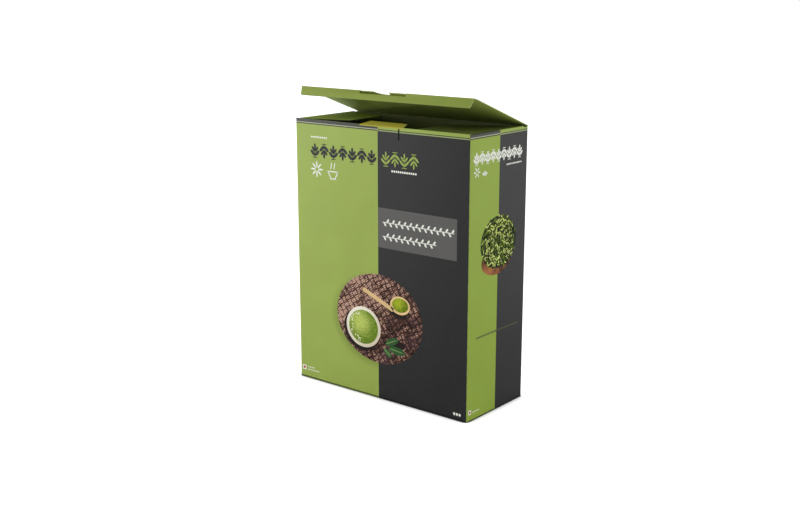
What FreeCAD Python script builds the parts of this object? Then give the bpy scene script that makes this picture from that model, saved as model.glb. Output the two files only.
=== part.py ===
"""An open folding carton for tea, standing on its base with the lid raised a little.

The carton is one die-cut sheet of board, folded up. Each panel that turns on a crease is a solid of its
own, and the four walls with the closed base are one solid. Lengths are millimetres and angles are degrees.
+X runs to the right along the front, +Y to the back and +Z up. The origin is the middle of the base.
"""

import FreeCAD, Part
import math
import os

# The carton
WIDTH = 150.0                # outside, left to right
DEPTH = 66.0                 # outside, front to back
HEIGHT = 190.0               # table to the top of the front wall
BOARD = 0.6                  # thickness of the board
CORNER_RADIUS = 1.0          # outside radius of the upright creases
BASE_RADIUS = 0.5            # outside radius of the creases round the base

# Creases: a panel turns on a bead as thick as the board, a little above the wall that carries it
CREASE_GAP = 0.15            # from the bead down to the wall's cut edge
END_GAP = 0.25               # from a panel's ends to the carton's sides
SCORE_DROP = 0.3             # how far the side creases lie below the lid's crease

# Lid, on the back wall
LID_CLOSED_GAP = 0.9         # from the tuck flap to the front wall when the lid is shut
LID_LIFT = 20.0              # above level
LID_CORNER = 1.0
THUMB_RADIUS = 6.5           # half-round notch in the lid's front edge
THUMB_PLACE = -2.0           # to the right of the middle

# Tuck flap, on the lid's front crease
TUCK_LENGTH = 6.3
TUCK_FOLD = 85.0             # turned down from the lid's own plane
TUCK_INSET = 1.15            # each end, from the lid's side
TUCK_TAPER = 1.4             # each end, from crease to free edge
TUCK_CORNER = 0.8

# Locking tab, on the front wall, and the slot in the tuck flap that takes it
TAB_WIDTH = 36.5
TAB_CENTRE = 2.5             # to the right of the middle
TAB_LENGTH = 8.6
TAB_TAPER = 2.5              # each side, from root to tip
TAB_CORNER = 1.0
TAB_LIFT = 11.0              # above level, folded in
TAB_SIDE_GAP = 0.2           # from the tab's root to the wall beside it
SLOT_CLEARANCE = 3.25        # slot's width over the tab's
SLOT_SHIFT = 2.55            # slot's centre to the left of the tab's
SLOT_HEIGHT = 2.1            # below the crease
SLOT_CORNER = 0.5

# Dust flaps, one on each side wall
FLAP_TAB_GAP = 4.45          # from a flap's free end to the tab's root, on the side the tab lies nearer to
FLAP_FRONT_GAP = 1.4         # from the front wall's inner face
FLAP_BACK_GAP = 4.6          # from the back wall's inner face, at the crease
FLAP_END = 35.0              # straight part of the free end, front to back
FLAP_CORNER = 2.5
LEFT_FLAP_LIFT = 2.3         # above level
RIGHT_FLAP_LIFT = -1.0

# Cut in the front wall, from its top edge
SLIT_PLACE = 18.0            # to the right of the middle
SLIT_WIDTH = 0.7
SLIT_DEPTH = 8.5

# Base: an outer panel on the back wall's foot, glued over two inner flaps
BASE_FLAP_LENGTH = 50.0
BASE_SEAM_WIDTH = 0.4
BASE_SEAM_DEPTH = 0.35
BASE_SEAM_INSET = 0.9        # from the outside faces to the seam

# Worked out from the values above
HALF_BOARD = BOARD / 2
HALF_WIDTH = WIDTH / 2
HALF_DEPTH = DEPTH / 2
TOP_CREASE_Z = HEIGHT - HALF_BOARD
SIDE_CREASE_Z = TOP_CREASE_Z - SCORE_DROP
BEAD_ROOM = HALF_BOARD + CREASE_GAP
LID_LENGTH = DEPTH - 2 * BOARD - LID_CLOSED_GAP
TAB_REACH = TAB_WIDTH / 2 + abs(TAB_CENTRE)
FLAP_LENGTH = HALF_WIDTH - HALF_BOARD - TAB_REACH - FLAP_TAB_GAP

UP = FreeCAD.Vector(0, 0, 1)
RIGHT = FreeCAD.Vector(1, 0, 0)
LEFT = FreeCAD.Vector(-1, 0, 0)
FRONT = FreeCAD.Vector(0, -1, 0)
BACK = FreeCAD.Vector(0, 1, 0)


def block(x_span, y_span, z_span):
    """A box from its three spans, each a (low, high) pair."""
    spans = (x_span, y_span, z_span)
    corner = FreeCAD.Vector(*(low for low, high in spans))
    return Part.makeBox(*(high - low for low, high in spans), corner)


def rounded_outline(corners):
    """A closed flat wire through (x, y, radius) corners, each rounded by its radius where it isn't zero."""
    edges = []
    count = len(corners)
    trimmed = []
    for index, (x, y, radius) in enumerate(corners):
        here = FreeCAD.Vector(x, y, 0)
        before = FreeCAD.Vector(*corners[index - 1][:2], 0)
        after = FreeCAD.Vector(*corners[(index + 1) % count][:2], 0)
        towards_before = (before - here).normalize()
        towards_after = (after - here).normalize()
        half_angle = towards_before.getAngle(towards_after) / 2
        cut_back = radius / math.tan(half_angle)
        start = here + towards_before * cut_back
        end = here + towards_after * cut_back
        trimmed.append((start, end))
        if radius > 0:
            bisector = (towards_before + towards_after).normalize()
            middle = here + bisector * (radius / math.sin(half_angle) - radius)
            edges.append(Part.Arc(start, middle, end).toShape())
    for index, (start, end) in enumerate(trimmed):
        previous_end = trimmed[index - 1][1]
        edges.append(Part.LineSegment(previous_end, start).toShape())
    return Part.Wire(Part.__sortEdges__(edges))


def sheet(corners):
    """A flat piece of board inside the corners, half its thickness each side of the drawing plane."""
    face = Part.Face(rounded_outline(corners))
    piece = face.extrude(UP * BOARD)
    piece.translate(UP * -HALF_BOARD)
    return piece


def bead(start, end):
    """The rounded edge along a crease, on the drawing's x axis."""
    return Part.makeCylinder(HALF_BOARD, end - start, FreeCAD.Vector(start, 0, 0), RIGHT)


def fold_into_place(panel, crease_point, along, outward, lift):
    """Put a panel drawn with its crease on the x axis where its crease is, turned up by its lift."""
    rise = math.radians(lift)
    run = outward * math.cos(rise) + UP * math.sin(rise)
    rotation = FreeCAD.Rotation(along, run, along.cross(run), "XYZ")
    placed = panel.copy()
    placed.Placement = FreeCAD.Placement(crease_point, rotation)
    return placed


def single_solid(shape):
    """The one solid that a shape holds, with faces that lie flush made one."""
    merged = shape.removeSplitter()
    if len(merged.Solids) != 1:
        raise ValueError("expected one solid, found %d" % len(merged.Solids))
    return merged.Solids[0]


def tab_span(at_length):
    """The locking tab's left and right edges at a distance from its root."""
    half = TAB_WIDTH / 2 - TAB_TAPER * at_length / TAB_LENGTH
    return TAB_CENTRE - half, TAB_CENTRE + half


def make_tube():
    """The four walls and the outer base panel, with every crease rounded."""
    outside = block((-HALF_WIDTH, HALF_WIDTH), (-HALF_DEPTH, HALF_DEPTH), (0, HEIGHT))
    upright = [edge for edge in outside.Edges if abs(edge.Length - HEIGHT) < BOARD / 10]
    outside = outside.makeFillet(CORNER_RADIUS, upright)
    foot = [edge for edge in outside.Edges if edge.BoundBox.ZMax < BOARD / 10]
    outside = outside.makeFillet(BASE_RADIUS, foot)
    inner_x = HALF_WIDTH - BOARD
    inner_y = HALF_DEPTH - BOARD
    hollow = block((-inner_x, inner_x), (-inner_y, inner_y), (BOARD, HEIGHT + BOARD))
    upright = [edge for edge in hollow.Edges if abs(edge.Length - HEIGHT) < BOARD / 10]
    hollow = hollow.makeFillet(CORNER_RADIUS - BOARD, upright)
    return outside.cut(hollow)


def make_base_flaps():
    """The two inner flaps that lie on the outer base panel, one on each side wall's foot."""
    flaps = []
    for side in (-1, 1):
        wall_x = side * (HALF_WIDTH - HALF_BOARD)
        end_x = side * (HALF_WIDTH - BASE_FLAP_LENGTH)
        span = (min(wall_x, end_x), max(wall_x, end_x))
        inner_y = HALF_DEPTH - BOARD
        flaps.append(block(span, (-inner_y, inner_y), (BOARD, 2 * BOARD)))
    return flaps


def make_base_seam():
    """The groove round the outer base panel's free edges: its front and its two ends."""
    seam_x = HALF_WIDTH - BASE_SEAM_INSET
    seam_y = HALF_DEPTH - BASE_SEAM_INSET
    rise = (-BOARD, BASE_SEAM_DEPTH)
    front = block((-seam_x, seam_x), (-seam_y, -seam_y + BASE_SEAM_WIDTH), rise)
    ends = [
        block(span, (-seam_y, seam_y), rise)
        for span in ((-seam_x, -seam_x + BASE_SEAM_WIDTH), (seam_x - BASE_SEAM_WIDTH, seam_x))
    ]
    return [front] + ends


def make_top_cuts():
    """What is cut off the walls' tops to leave room for each crease's bead, and the slit in the front."""
    sky = HEIGHT + BOARD
    front_inner = -HALF_DEPTH + BOARD
    back_inner = HALF_DEPTH - BOARD
    past_side = HALF_WIDTH + BOARD
    past_back = HALF_DEPTH + BOARD
    tab_left, tab_right = tab_span(0)
    side_top = SIDE_CREASE_Z - BEAD_ROOM
    back_top = TOP_CREASE_Z - BEAD_ROOM
    slit_half = SLIT_WIDTH / 2
    sides = (front_inner + CORNER_RADIUS, back_inner - CORNER_RADIUS)
    return [
        block((-past_side, past_side), sides, (side_top, sky)),
        block((-past_side, past_side), (sides[1], past_back), (back_top, sky)),
        block(
            (tab_left - TAB_SIDE_GAP, tab_right + TAB_SIDE_GAP),
            (-HALF_DEPTH - BOARD, front_inner + HALF_BOARD),
            (back_top, sky),
        ),
        block(
            (SLIT_PLACE - slit_half, SLIT_PLACE + slit_half),
            (-HALF_DEPTH - BOARD, front_inner + HALF_BOARD),
            (HEIGHT - SLIT_DEPTH, sky),
        ),
    ]


def make_carton_body():
    """Walls and base: the part of the sheet that stays put."""
    body = make_tube().multiFuse(make_base_flaps())
    return single_solid(body.cut(make_base_seam() + make_top_cuts()))


def make_lid_panel():
    """The lid, with rounded front corners and a half-round thumb notch in its front edge.

    It is drawn from its outer side, so the drawing's x runs against the carton's.
    """
    half = HALF_WIDTH - END_GAP
    free_edge = LID_LENGTH - BEAD_ROOM
    panel = sheet([
        (-half, 0, 0),
        (half, 0, 0),
        (half, free_edge, LID_CORNER),
        (-half, free_edge, LID_CORNER),
    ])
    panel = panel.fuse(bead(-half, half))
    notch = Part.makeCylinder(THUMB_RADIUS, 2 * BOARD, FreeCAD.Vector(-THUMB_PLACE, free_edge, -BOARD), UP)
    return single_solid(panel.cut(notch))


def make_tuck_flap():
    """The strip on the lid's front crease, with the slot that the locking tab goes through.

    It is drawn as seen from the lid's side, so the drawing's x runs against the carton's.
    """
    half = HALF_WIDTH - END_GAP - TUCK_INSET
    slot_half = (TAB_WIDTH + SLOT_CLEARANCE) / 2
    slot_centre = -(TAB_CENTRE - SLOT_SHIFT)
    panel = sheet([
        (-half, 0, 0),
        (half, 0, 0),
        (half - TUCK_TAPER, TUCK_LENGTH, TUCK_CORNER),
        (TUCK_TAPER - half, TUCK_LENGTH, TUCK_CORNER),
    ])
    panel = panel.fuse(bead(-half, half))
    slot = sheet([
        (slot_centre - slot_half, -BOARD, 0),
        (slot_centre + slot_half, -BOARD, 0),
        (slot_centre + slot_half, SLOT_HEIGHT, SLOT_CORNER),
        (slot_centre - slot_half, SLOT_HEIGHT, SLOT_CORNER),
    ])
    return single_solid(panel.cut(slot))


def make_dust_flap(mirrored):
    """A dust flap, its back edge slanted to clear the lid. Drawn with its front edge at high x."""
    front = HALF_DEPTH - BOARD - FLAP_FRONT_GAP
    back = -(HALF_DEPTH - BOARD - FLAP_BACK_GAP)
    flap = sheet([
        (back, 0, 0),
        (front, 0, 0),
        (front, FLAP_LENGTH, FLAP_CORNER),
        (front - FLAP_END, FLAP_LENGTH, FLAP_CORNER),
    ])
    flap = single_solid(flap.fuse(bead(back, front)))
    if mirrored:
        flap = flap.mirror(FreeCAD.Vector(), RIGHT)
    return flap


def make_lock_tab():
    """The tapered tab on the front wall's top edge, folded inwards."""
    root_left, root_right = tab_span(0)
    tip_left, tip_right = tab_span(TAB_LENGTH)
    tab = sheet([
        (root_left, 0, 0),
        (root_right, 0, 0),
        (tip_right, TAB_LENGTH, TAB_CORNER),
        (tip_left, TAB_LENGTH, TAB_CORNER),
    ])
    return single_solid(tab.fuse(bead(root_left, root_right)))


def make_parts():
    """Every sub-part in its place, by node name."""
    lid_crease = FreeCAD.Vector(0, HALF_DEPTH - HALF_BOARD, TOP_CREASE_Z)
    lid_rise = math.radians(LID_LIFT)
    lid_run = FRONT * math.cos(lid_rise) + UP * math.sin(lid_rise)
    tuck_crease = lid_crease + lid_run * LID_LENGTH
    side_crease_x = HALF_WIDTH - HALF_BOARD
    return {
        "carton_body": make_carton_body(),
        "lid_panel": fold_into_place(make_lid_panel(), lid_crease, LEFT, FRONT, LID_LIFT),
        "tuck_flap": fold_into_place(make_tuck_flap(), tuck_crease, LEFT, FRONT, LID_LIFT - TUCK_FOLD),
        "lock_tab": fold_into_place(
            make_lock_tab(),
            FreeCAD.Vector(0, -HALF_DEPTH + HALF_BOARD, TOP_CREASE_Z),
            RIGHT,
            BACK,
            TAB_LIFT,
        ),
        "dust_flap_left": fold_into_place(
            make_dust_flap(mirrored=False),
            FreeCAD.Vector(-side_crease_x, 0, SIDE_CREASE_Z),
            FRONT,
            RIGHT,
            LEFT_FLAP_LIFT,
        ),
        "dust_flap_right": fold_into_place(
            make_dust_flap(mirrored=True),
            FreeCAD.Vector(side_crease_x, 0, SIDE_CREASE_Z),
            BACK,
            LEFT,
            RIGHT_FLAP_LIFT,
        ),
    }


def main():
    """Build the sub-parts and write one STEP file for each."""
    os.makedirs("parts", exist_ok=True)
    for name, shape in make_parts().items():
        if not shape.isValid():
            raise ValueError("%s is not a valid solid" % name)
        shape.exportStep("parts/%s.step" % name)
        box = shape.BoundBox
        print("%-16s volume %9.1f mm3  x %.2f..%.2f  y %.2f..%.2f  z %.2f..%.2f" % (
            name, shape.Volume, box.XMin, box.XMax, box.YMin, box.YMax, box.ZMin, box.ZMax))


main()
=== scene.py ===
"""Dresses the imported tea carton: printed walls, folded panels, crease strips and the printed artwork.

Sizes in this file are millimetres, and the helpers turn them into the frame's metres. A wall's own
coordinates are (across, up): across runs to the right as that wall is looked at from outside.
"""

import logging
import math
import random
from collections.abc import Callable, Iterator, Sequence
from contextlib import contextmanager
from dataclasses import dataclass
from enum import Enum, IntEnum

import bmesh
import bpy
from mathutils import Matrix, Vector


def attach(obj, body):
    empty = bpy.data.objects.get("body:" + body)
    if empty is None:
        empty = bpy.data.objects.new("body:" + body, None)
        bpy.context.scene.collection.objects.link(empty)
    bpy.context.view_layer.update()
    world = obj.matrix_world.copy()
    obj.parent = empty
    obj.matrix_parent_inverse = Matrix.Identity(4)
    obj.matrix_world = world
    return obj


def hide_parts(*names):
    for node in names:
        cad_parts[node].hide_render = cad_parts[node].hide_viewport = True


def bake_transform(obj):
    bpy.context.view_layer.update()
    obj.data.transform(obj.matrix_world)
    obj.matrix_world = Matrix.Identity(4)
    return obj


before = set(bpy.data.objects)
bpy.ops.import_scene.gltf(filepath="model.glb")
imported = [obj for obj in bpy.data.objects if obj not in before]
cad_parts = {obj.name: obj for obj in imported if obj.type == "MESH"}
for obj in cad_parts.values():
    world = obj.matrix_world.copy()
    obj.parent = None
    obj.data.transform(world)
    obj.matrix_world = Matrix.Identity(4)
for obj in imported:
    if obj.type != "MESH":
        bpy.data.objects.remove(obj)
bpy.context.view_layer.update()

MM = 0.001
HALF_WIDTH = 75.0
HALF_DEPTH = 33.0
SQUARELY = 0.9
NOISE_SPAN = (0.3, 0.7)
FIBRE_SPAN = (0.3, 0.75)
UPRIGHT = Vector((0, 0, 1))
log = logging.getLogger("tea_carton")

Colour = tuple[float, float, float, float]
Point = tuple[float, float, float]
Spot = tuple[float, float]
PartTest = Callable[..., bool]
Piece = bpy.types.Object
Socket = bpy.types.NodeSocket


def ink(red: float, green: float, blue: float) -> Colour:
    """Turn a colour written on the 0 to 255 display scale into Blender's linear one.

    Args:
        red: Red on the display scale.
        green: Green on the display scale.
        blue: Blue on the display scale.

    Returns:
        The linear colour, with full alpha.
    """
    def straight(level: float) -> float:
        """One channel made linear."""
        share = level / 255
        return share / 12.92 if share <= 0.04045 else ((share + 0.055) / 1.055) ** 2.4

    return straight(red), straight(green), straight(blue), 1.0


def shade(colour: Colour, factor: float) -> Colour:
    """The same colour made lighter or darker by a factor."""
    return colour[0] * factor, colour[1] * factor, colour[2] * factor, 1.0


WHITE = (1.0, 1.0, 1.0, 1.0)


# ---------------------------------------------------------------------------------------------
# Finishes
# ---------------------------------------------------------------------------------------------

class NodeBench:
    """Lays out the nodes of one tree."""

    def __init__(self, tree: bpy.types.NodeTree) -> None:
        """Take up a tree."""
        self.tree = tree

    def add(self, kind: str, **settings: object) -> bpy.types.Node:
        """Add a node and set its properties.

        Args:
            kind: Blender's name for the node.
            settings: Property values by name.

        Returns:
            The new node.
        """
        node = self.tree.nodes.new(kind)
        for key, value in settings.items():
            setattr(node, key, value)
        return node

    def feed(self, target: Socket, value: object) -> None:
        """Join a socket to an input, or set the input to a plain value.

        Args:
            target: The input.
            value: A socket or a plain value.
        """
        if isinstance(value, bpy.types.NodeSocket):
            self.tree.links.new(value, target)
        else:
            target.default_value = value

    def math(self, operation: str, *values: object) -> Socket:
        """Work out one number from up to three.

        Args:
            operation: Blender's name for the sum.
            values: Sockets or numbers.

        Returns:
            The result's socket.
        """
        node = self.add("ShaderNodeMath", operation=operation)
        for slot, value in zip(node.inputs, values):
            self.feed(slot, value)
        return node.outputs[0]

    def ramp(self, value: Socket, start: float, end: float, low: float = 0.0, high: float = 1.0) -> Socket:
        """Map a number smoothly from one span to another.

        Args:
            value: The number.
            start: Where the span begins.
            end: Where the span ends.
            low: Result at the start and before it.
            high: Result at the end and past it.

        Returns:
            The mapped number's socket.
        """
        node = self.add("ShaderNodeMapRange", interpolation_type="SMOOTHSTEP")
        for name, number in (("Value", value), ("From Min", start), ("From Max", end), ("To Min", low),
                             ("To Max", high)):
            self.feed(node.inputs[name], number)
        return node.outputs["Result"]

    def rays(self) -> tuple[Socket, Socket]:
        """Tell rays apart.

        Returns:
            Whether a ray comes from the camera, straight or through something clear, and whether off gloss.
        """
        path = self.add("ShaderNodeLightPath")
        straight = self.math("MAXIMUM", path.outputs["Is Camera Ray"], path.outputs["Is Transmission Ray"])
        return straight, path.outputs["Is Glossy Ray"]


class MaterialBench(NodeBench):
    """Lays out one material's nodes round its shader."""

    def __init__(self, name: str) -> None:
        """Start a material with an empty principled shader.

        Args:
            name: The material's name.
        """
        self.material = bpy.data.materials.new(name)
        self.material.use_nodes = True
        super().__init__(self.material.node_tree)
        self.shader = self.tree.nodes["Principled BSDF"]
        self.place = self.add("ShaderNodeTexCoord").outputs["Object"]

    def give(self, colour: object, roughness: object, specular: float) -> None:
        """Give the shader its colour and roughness, each plain or a socket, and its specular level."""
        for name, value in (("Base Color", colour), ("Roughness", roughness), ("Specular IOR Level", specular)):
            self.feed(self.shader.inputs[name], value)

    def spread(self, scale: Point, turn: Point = (0.0, 0.0, 0.0)) -> Socket:
        """The piece's own place, turned and scaled.

        Args:
            scale: Factor along each axis.
            turn: Turn round each axis, in radians.

        Returns:
            The place's socket.
        """
        node = self.add("ShaderNodeMapping")
        for name, value in (("Vector", self.place), ("Rotation", turn), ("Scale", scale)):
            self.feed(node.inputs[name], value)
        return node.outputs["Vector"]

    def noise(self, scale: float, detail: float = 2.0, stretch: Point = (1.0, 1.0, 1.0)) -> Socket:
        """Soft noise over the piece.

        Args:
            scale: Features to the metre.
            detail: Octaves.
            stretch: How much quicker it changes along each axis.

        Returns:
            The noise's strength, 0 to 1.
        """
        node = self.add("ShaderNodeTexNoise")
        for name, value in (("Vector", self.spread(stretch)), ("Scale", scale), ("Detail", detail)):
            self.feed(node.inputs[name], value)
        return node.outputs["Fac"]

    def mix(self, share: object, first: object, second: object) -> Socket:
        """Blend two colours.

        Args:
            share: How much of the second, 0 to 1.
            first: Colour or socket.
            second: Colour or socket.

        Returns:
            The blended colour's socket.
        """
        node = self.add("ShaderNodeMix", data_type="RGBA")
        for slot, value in ((node.inputs["Factor"], share), (node.inputs[6], first), (node.inputs[7], second)):
            self.feed(slot, value)
        return node.outputs[2]

    def axes(self, source: Socket | None = None) -> tuple[Socket, Socket, Socket]:
        """Split a vector into x, y and z.

        Args:
            source: The vector, or the piece's own place if left out.

        Returns:
            The three sockets.
        """
        node = self.add("ShaderNodeSeparateXYZ")
        self.feed(node.inputs[0], source or self.place)
        return tuple(node.outputs)

    def bump(self, height: Socket, depth: float) -> None:
        """Give the shader a bump.

        Args:
            height: The height pattern, 0 to 1.
            depth: Its full depth in millimetres.
        """
        node = self.add("ShaderNodeBump")
        for name, value in (("Strength", 1.0), ("Distance", depth * MM), ("Height", height)):
            self.feed(node.inputs[name], value)
        self.feed(self.shader.inputs["Normal"], node.outputs["Normal"])


@dataclass(frozen=True)
class Halo:
    """A soft printed shadow round a picture, in wall coordinates."""

    across: float
    up: float
    half_across: float
    half_up: float
    soft_edge: float = 0.13
    darkest: float = 0.72


@dataclass(frozen=True)
class PrintedBoard:
    """Satin ink on carton board: faint mottle, paper fibre, and pale rubbed spots on the creases."""

    name: str
    colour: Colour
    roughness: float = 0.46
    specular: float = 0.2
    mottle: float = 0.03
    fibre: float = 0.015
    grain_depth: float = 0.012
    rub: Colour | None = None
    halo: Halo | None = None
    fibre_colour: Colour = ink(225, 228, 205)
    mottle_scale: float = 38.0
    fibre_scale: float = 1500.0
    fibre_stretch: Point = (1.0, 1.0, 0.45)
    wear_reach: float = 0.9
    wear_scale: float = 420.0
    wear_least: float = 0.12
    wear_most: float = 0.75

    def material(self) -> bpy.types.Material:
        """Build the material, or hand back the one already built.

        Returns:
            The material.
        """
        known = bpy.data.materials.get(self.name)
        if known:
            return known
        bench = MaterialBench(self.name)
        broad = bench.noise(self.mottle_scale, 3.0)
        fibre = bench.noise(self.fibre_scale, 3.0, self.fibre_stretch)
        colour = bench.mix(bench.ramp(broad, *NOISE_SPAN), shade(self.colour, 1 - self.mottle),
                           shade(self.colour, 1 + self.mottle))
        colour = bench.mix(bench.ramp(fibre, 0.35, 0.72, 0.0, self.fibre), colour, self.fibre_colour)
        if self.halo:
            colour = self._darken_round_picture(bench, colour)
        if self.rub:
            colour = bench.mix(self._rubbed_creases(bench), colour, self.rub)
        bench.give(colour, bench.ramp(fibre, *FIBRE_SPAN, self.roughness - 0.06, self.roughness + 0.07),
                   self.specular)
        bench.bump(fibre, self.grain_depth)
        return bench.material

    def _darken_round_picture(self, bench: MaterialBench, colour: Socket) -> Socket:
        """Darken the ink in a soft ring round the picture.

        Args:
            bench: The material's bench.
            colour: The ink so far.

        Returns:
            The ink with the printed shadow on it.
        """
        x_place, _, z_place = bench.axes()
        halo = self.halo
        squares = []
        for place, middle, half in ((x_place, halo.across, halo.half_across), (z_place, halo.up, halo.half_up)):
            share = bench.math("MULTIPLY_ADD", place, 1 / (half * MM), -middle / half)
            squares.append(bench.math("MULTIPLY", share, share))
        reach = bench.math("SQRT", bench.math("ADD", *squares))
        depth = bench.ramp(reach, 1.0 - halo.soft_edge, 1.0 + halo.soft_edge, 1.0, 0.0)
        return bench.mix(depth, colour, shade(self.colour, halo.darkest))

    def _rubbed_creases(self, bench: MaterialBench) -> Socket:
        """Mask of the spots where handling has rubbed the upright creases.

        Args:
            bench: The material's bench.

        Returns:
            The mask, 0 to 1.
        """
        x_place, y_place, _ = bench.axes()
        near_x, near_y = (
            bench.ramp(bench.math("ABSOLUTE", place), (half - self.wear_reach) * MM, half * MM)
            for place, half in ((x_place, HALF_WIDTH), (y_place, HALF_DEPTH)))
        spots = bench.ramp(bench.noise(self.wear_scale, 4.0), 0.42, 0.72, self.wear_least, self.wear_most)
        return bench.math("MULTIPLY", bench.math("MULTIPLY", near_x, near_y), spots)


@dataclass(frozen=True)
class CoreBoard:
    """The carton's body: a green lining inside, darkened as painted shade of the carton's hollow, pale fibre on the
    cut edges, the print's ground outside.
    """

    name: str
    lining: Colour
    core: Colour
    green: Colour
    dark: Colour
    edge_height: float = 188.4
    base_top: float = 0.55
    outer_skin: float = 0.3
    mottle_scale: float = 30.0
    mottle: Spot = (0.94, 1.05)
    fibre_scale: float = 1300.0
    fibre_stretch: Point = (1.0, 1.0, 0.5)
    fibre_tones: Spot = (0.85, 1.08)
    roughness: Spot = (0.5, 0.68)
    specular: float = 0.28
    grain_depth: float = 0.014

    def material(self) -> bpy.types.Material:
        """Build the material.

        Returns:
            The material.
        """
        bench = MaterialBench(self.name)
        x_place, y_place, z_place = bench.axes()
        _, _, up_facing = bench.axes(bench.add("ShaderNodeTexCoord").outputs["Normal"])
        broad = bench.noise(self.mottle_scale, 3.0)
        fibre = bench.noise(self.fibre_scale, 3.0, self.fibre_stretch)
        # self.lining comes in darkened, as painted shade of the carton's inside.
        inside = bench.mix(bench.ramp(broad, *NOISE_SPAN), *(shade(self.lining, tone) for tone in self.mottle))
        on_left = bench.math("LESS_THAN", x_place, 0.0)
        ground = bench.mix(on_left, self.dark, self.green)
        within_x, within_y = (
            bench.math("LESS_THAN", bench.math("ABSOLUTE", place), (half - self.outer_skin) * MM)
            for place, half in ((x_place, HALF_WIDTH), (y_place, HALF_DEPTH)))
        over_base = bench.math("GREATER_THAN", z_place, self.base_top * MM)
        within = bench.math("MULTIPLY", bench.math("MULTIPLY", within_x, within_y), over_base)
        under = bench.ramp(up_facing, -0.9, -0.7, 1.0, 0.0)
        colour = bench.mix(within, bench.mix(under, ground, self.green), inside)
        edge = bench.math("MULTIPLY", bench.math("GREATER_THAN", up_facing, 0.7),
                          bench.math("GREATER_THAN", z_place, self.edge_height * MM))
        colour = bench.mix(edge, colour, bench.mix(fibre, *(shade(self.core, tone) for tone in self.fibre_tones)))
        bench.give(colour, bench.ramp(fibre, *FIBRE_SPAN, *self.roughness), self.specular)
        bench.bump(fibre, self.grain_depth)
        return bench.material


@dataclass(frozen=True)
class PaintedShade:
    """A printed thing shaded from a light spot to a dark rim, with speckle."""

    name: str
    light: Colour
    dark: Colour
    centre: Point
    reach: float
    speckle: float = 0.25
    speckle_scale: float = 700.0
    roughness: float = 0.48
    specular: float = 0.08

    def material(self) -> bpy.types.Material:
        """Build the material.

        Returns:
            The material.
        """
        bench = MaterialBench(self.name)
        gap = bench.add("ShaderNodeVectorMath", operation="DISTANCE")
        bench.feed(gap.inputs[0], bench.place)
        bench.feed(gap.inputs[1], tuple(value * MM for value in self.centre))
        away = bench.ramp(gap.outputs["Value"], 0.0, self.reach * MM)
        grain = bench.noise(self.speckle_scale, 4.0)
        held = bench.add("ShaderNodeClamp")
        bench.feed(held.inputs["Value"],
                   bench.math("ADD", away, bench.ramp(grain, *NOISE_SPAN, -self.speckle, self.speckle)))
        bench.give(bench.mix(held.outputs[0], self.light, self.dark),
                   bench.ramp(grain, *NOISE_SPAN, self.roughness - 0.05, self.roughness + 0.05), self.specular)
        return bench.material


@dataclass(frozen=True)
class PrintedWeave:
    """A printed basket-weave mat, turned on the wall: bundles of three strands, over and under."""

    name: str
    deep: Colour
    middle: Colour
    light: Colour
    plum: Colour
    cell: float = 3.9
    strands: int = 3
    turn: float = 33.0
    cells_aside: float = 40.0
    stray_scale: float = 300.0
    stray: float = 0.85
    patch_scale: float = 62.0
    plum_scale: float = 95.0
    plum_share: float = 0.35
    roughness: Spot = (0.52, 0.44)
    specular: float = 0.12

    def material(self) -> bpy.types.Material:
        """Build the material.

        Returns:
            The material.
        """
        bench = MaterialBench(self.name)
        cells = bench.spread((1 / (self.cell * MM),) * 3, (0.0, math.radians(self.turn), 0.0))
        across, _, up = bench.axes(cells)
        across, up = (bench.math("ADD", place, self.cells_aside) for place in (across, up))
        odd = bench.math("MODULO", bench.math("ADD", bench.math("FLOOR", across), bench.math("FLOOR", up)), 2.0)
        in_across, in_up = bench.math("FRACT", across), bench.math("FRACT", up)
        flip = bench.add("ShaderNodeMix", data_type="FLOAT")
        for index, value in ((0, odd), (2, self._strand(bench, in_up, in_across)),
                             (3, self._strand(bench, in_across, in_up))):
            bench.feed(flip.inputs[index], value)
        height = flip.outputs[0]
        level = self._level(bench, height)
        colour = bench.mix(bench.ramp(level, 0.2, 0.7), self.deep, self.middle)
        colour = bench.mix(bench.ramp(level, 0.7, 1.15), colour, self.light)
        colour = bench.mix(bench.ramp(bench.noise(self.plum_scale), 0.45, 0.7, 0.0, self.plum_share), colour,
                           self.plum)
        bench.give(colour, bench.ramp(height, 0.0, 1.0, *self.roughness), self.specular)
        return bench.material

    def _strand(self, bench: MaterialBench, crosswise: Socket, lengthwise: Socket) -> Socket:
        """How high a strand stands at a point in its cell.

        Args:
            bench: The material's bench.
            crosswise: Place across the strands, 0 to 1.
            lengthwise: Place along the strands, 0 to 1.

        Returns:
            The height's socket.
        """
        wave = bench.math("ABSOLUTE", bench.math("SINE", bench.math("MULTIPLY", crosswise, math.pi * self.strands)))
        arch = bench.math("POWER", bench.math("SINE", bench.math("MULTIPLY", lengthwise, math.pi)), 0.5)
        return bench.math("MULTIPLY", bench.math("POWER", wave, 0.8), arch)

    def _level(self, bench: MaterialBench, height: Socket) -> Socket:
        """How light the mat is: higher strands, a tone that strays, and a light from the upper left.

        Args:
            bench: The material's bench.
            height: How high the strand stands.

        Returns:
            The level, about 0 to 1.
        """
        strays = bench.math("MULTIPLY_ADD", bench.noise(self.stray_scale, 4.0), 2 * self.stray, -self.stray)
        patches = bench.ramp(bench.noise(self.patch_scale, 3.0), 0.35, 0.65, -0.16, 0.2)
        aside, _, above = bench.axes()
        lit = bench.ramp(bench.math("SUBTRACT", above, aside), 0.01, 0.1, -0.15, 0.2)
        level = height
        for change in (strays, patches, lit):
            level = bench.math("ADD", level, change)
        return level


GREEN = ink(151, 171, 78)
SIDE_GREEN = ink(143, 167, 58)
PANEL_GREEN = ink(132, 148, 66)
DARK = ink(32, 32, 33)
LINING = ink(155, 172, 82)
# The body's inside lining is a much darker green than the panels' lining: painted shade inside the carton.
INNER_LINING_PAINTED_SHADE = ink(84, 94, 38)
CORE = ink(158, 172, 104)
GREEN_RUB = ink(196, 206, 160)

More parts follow.
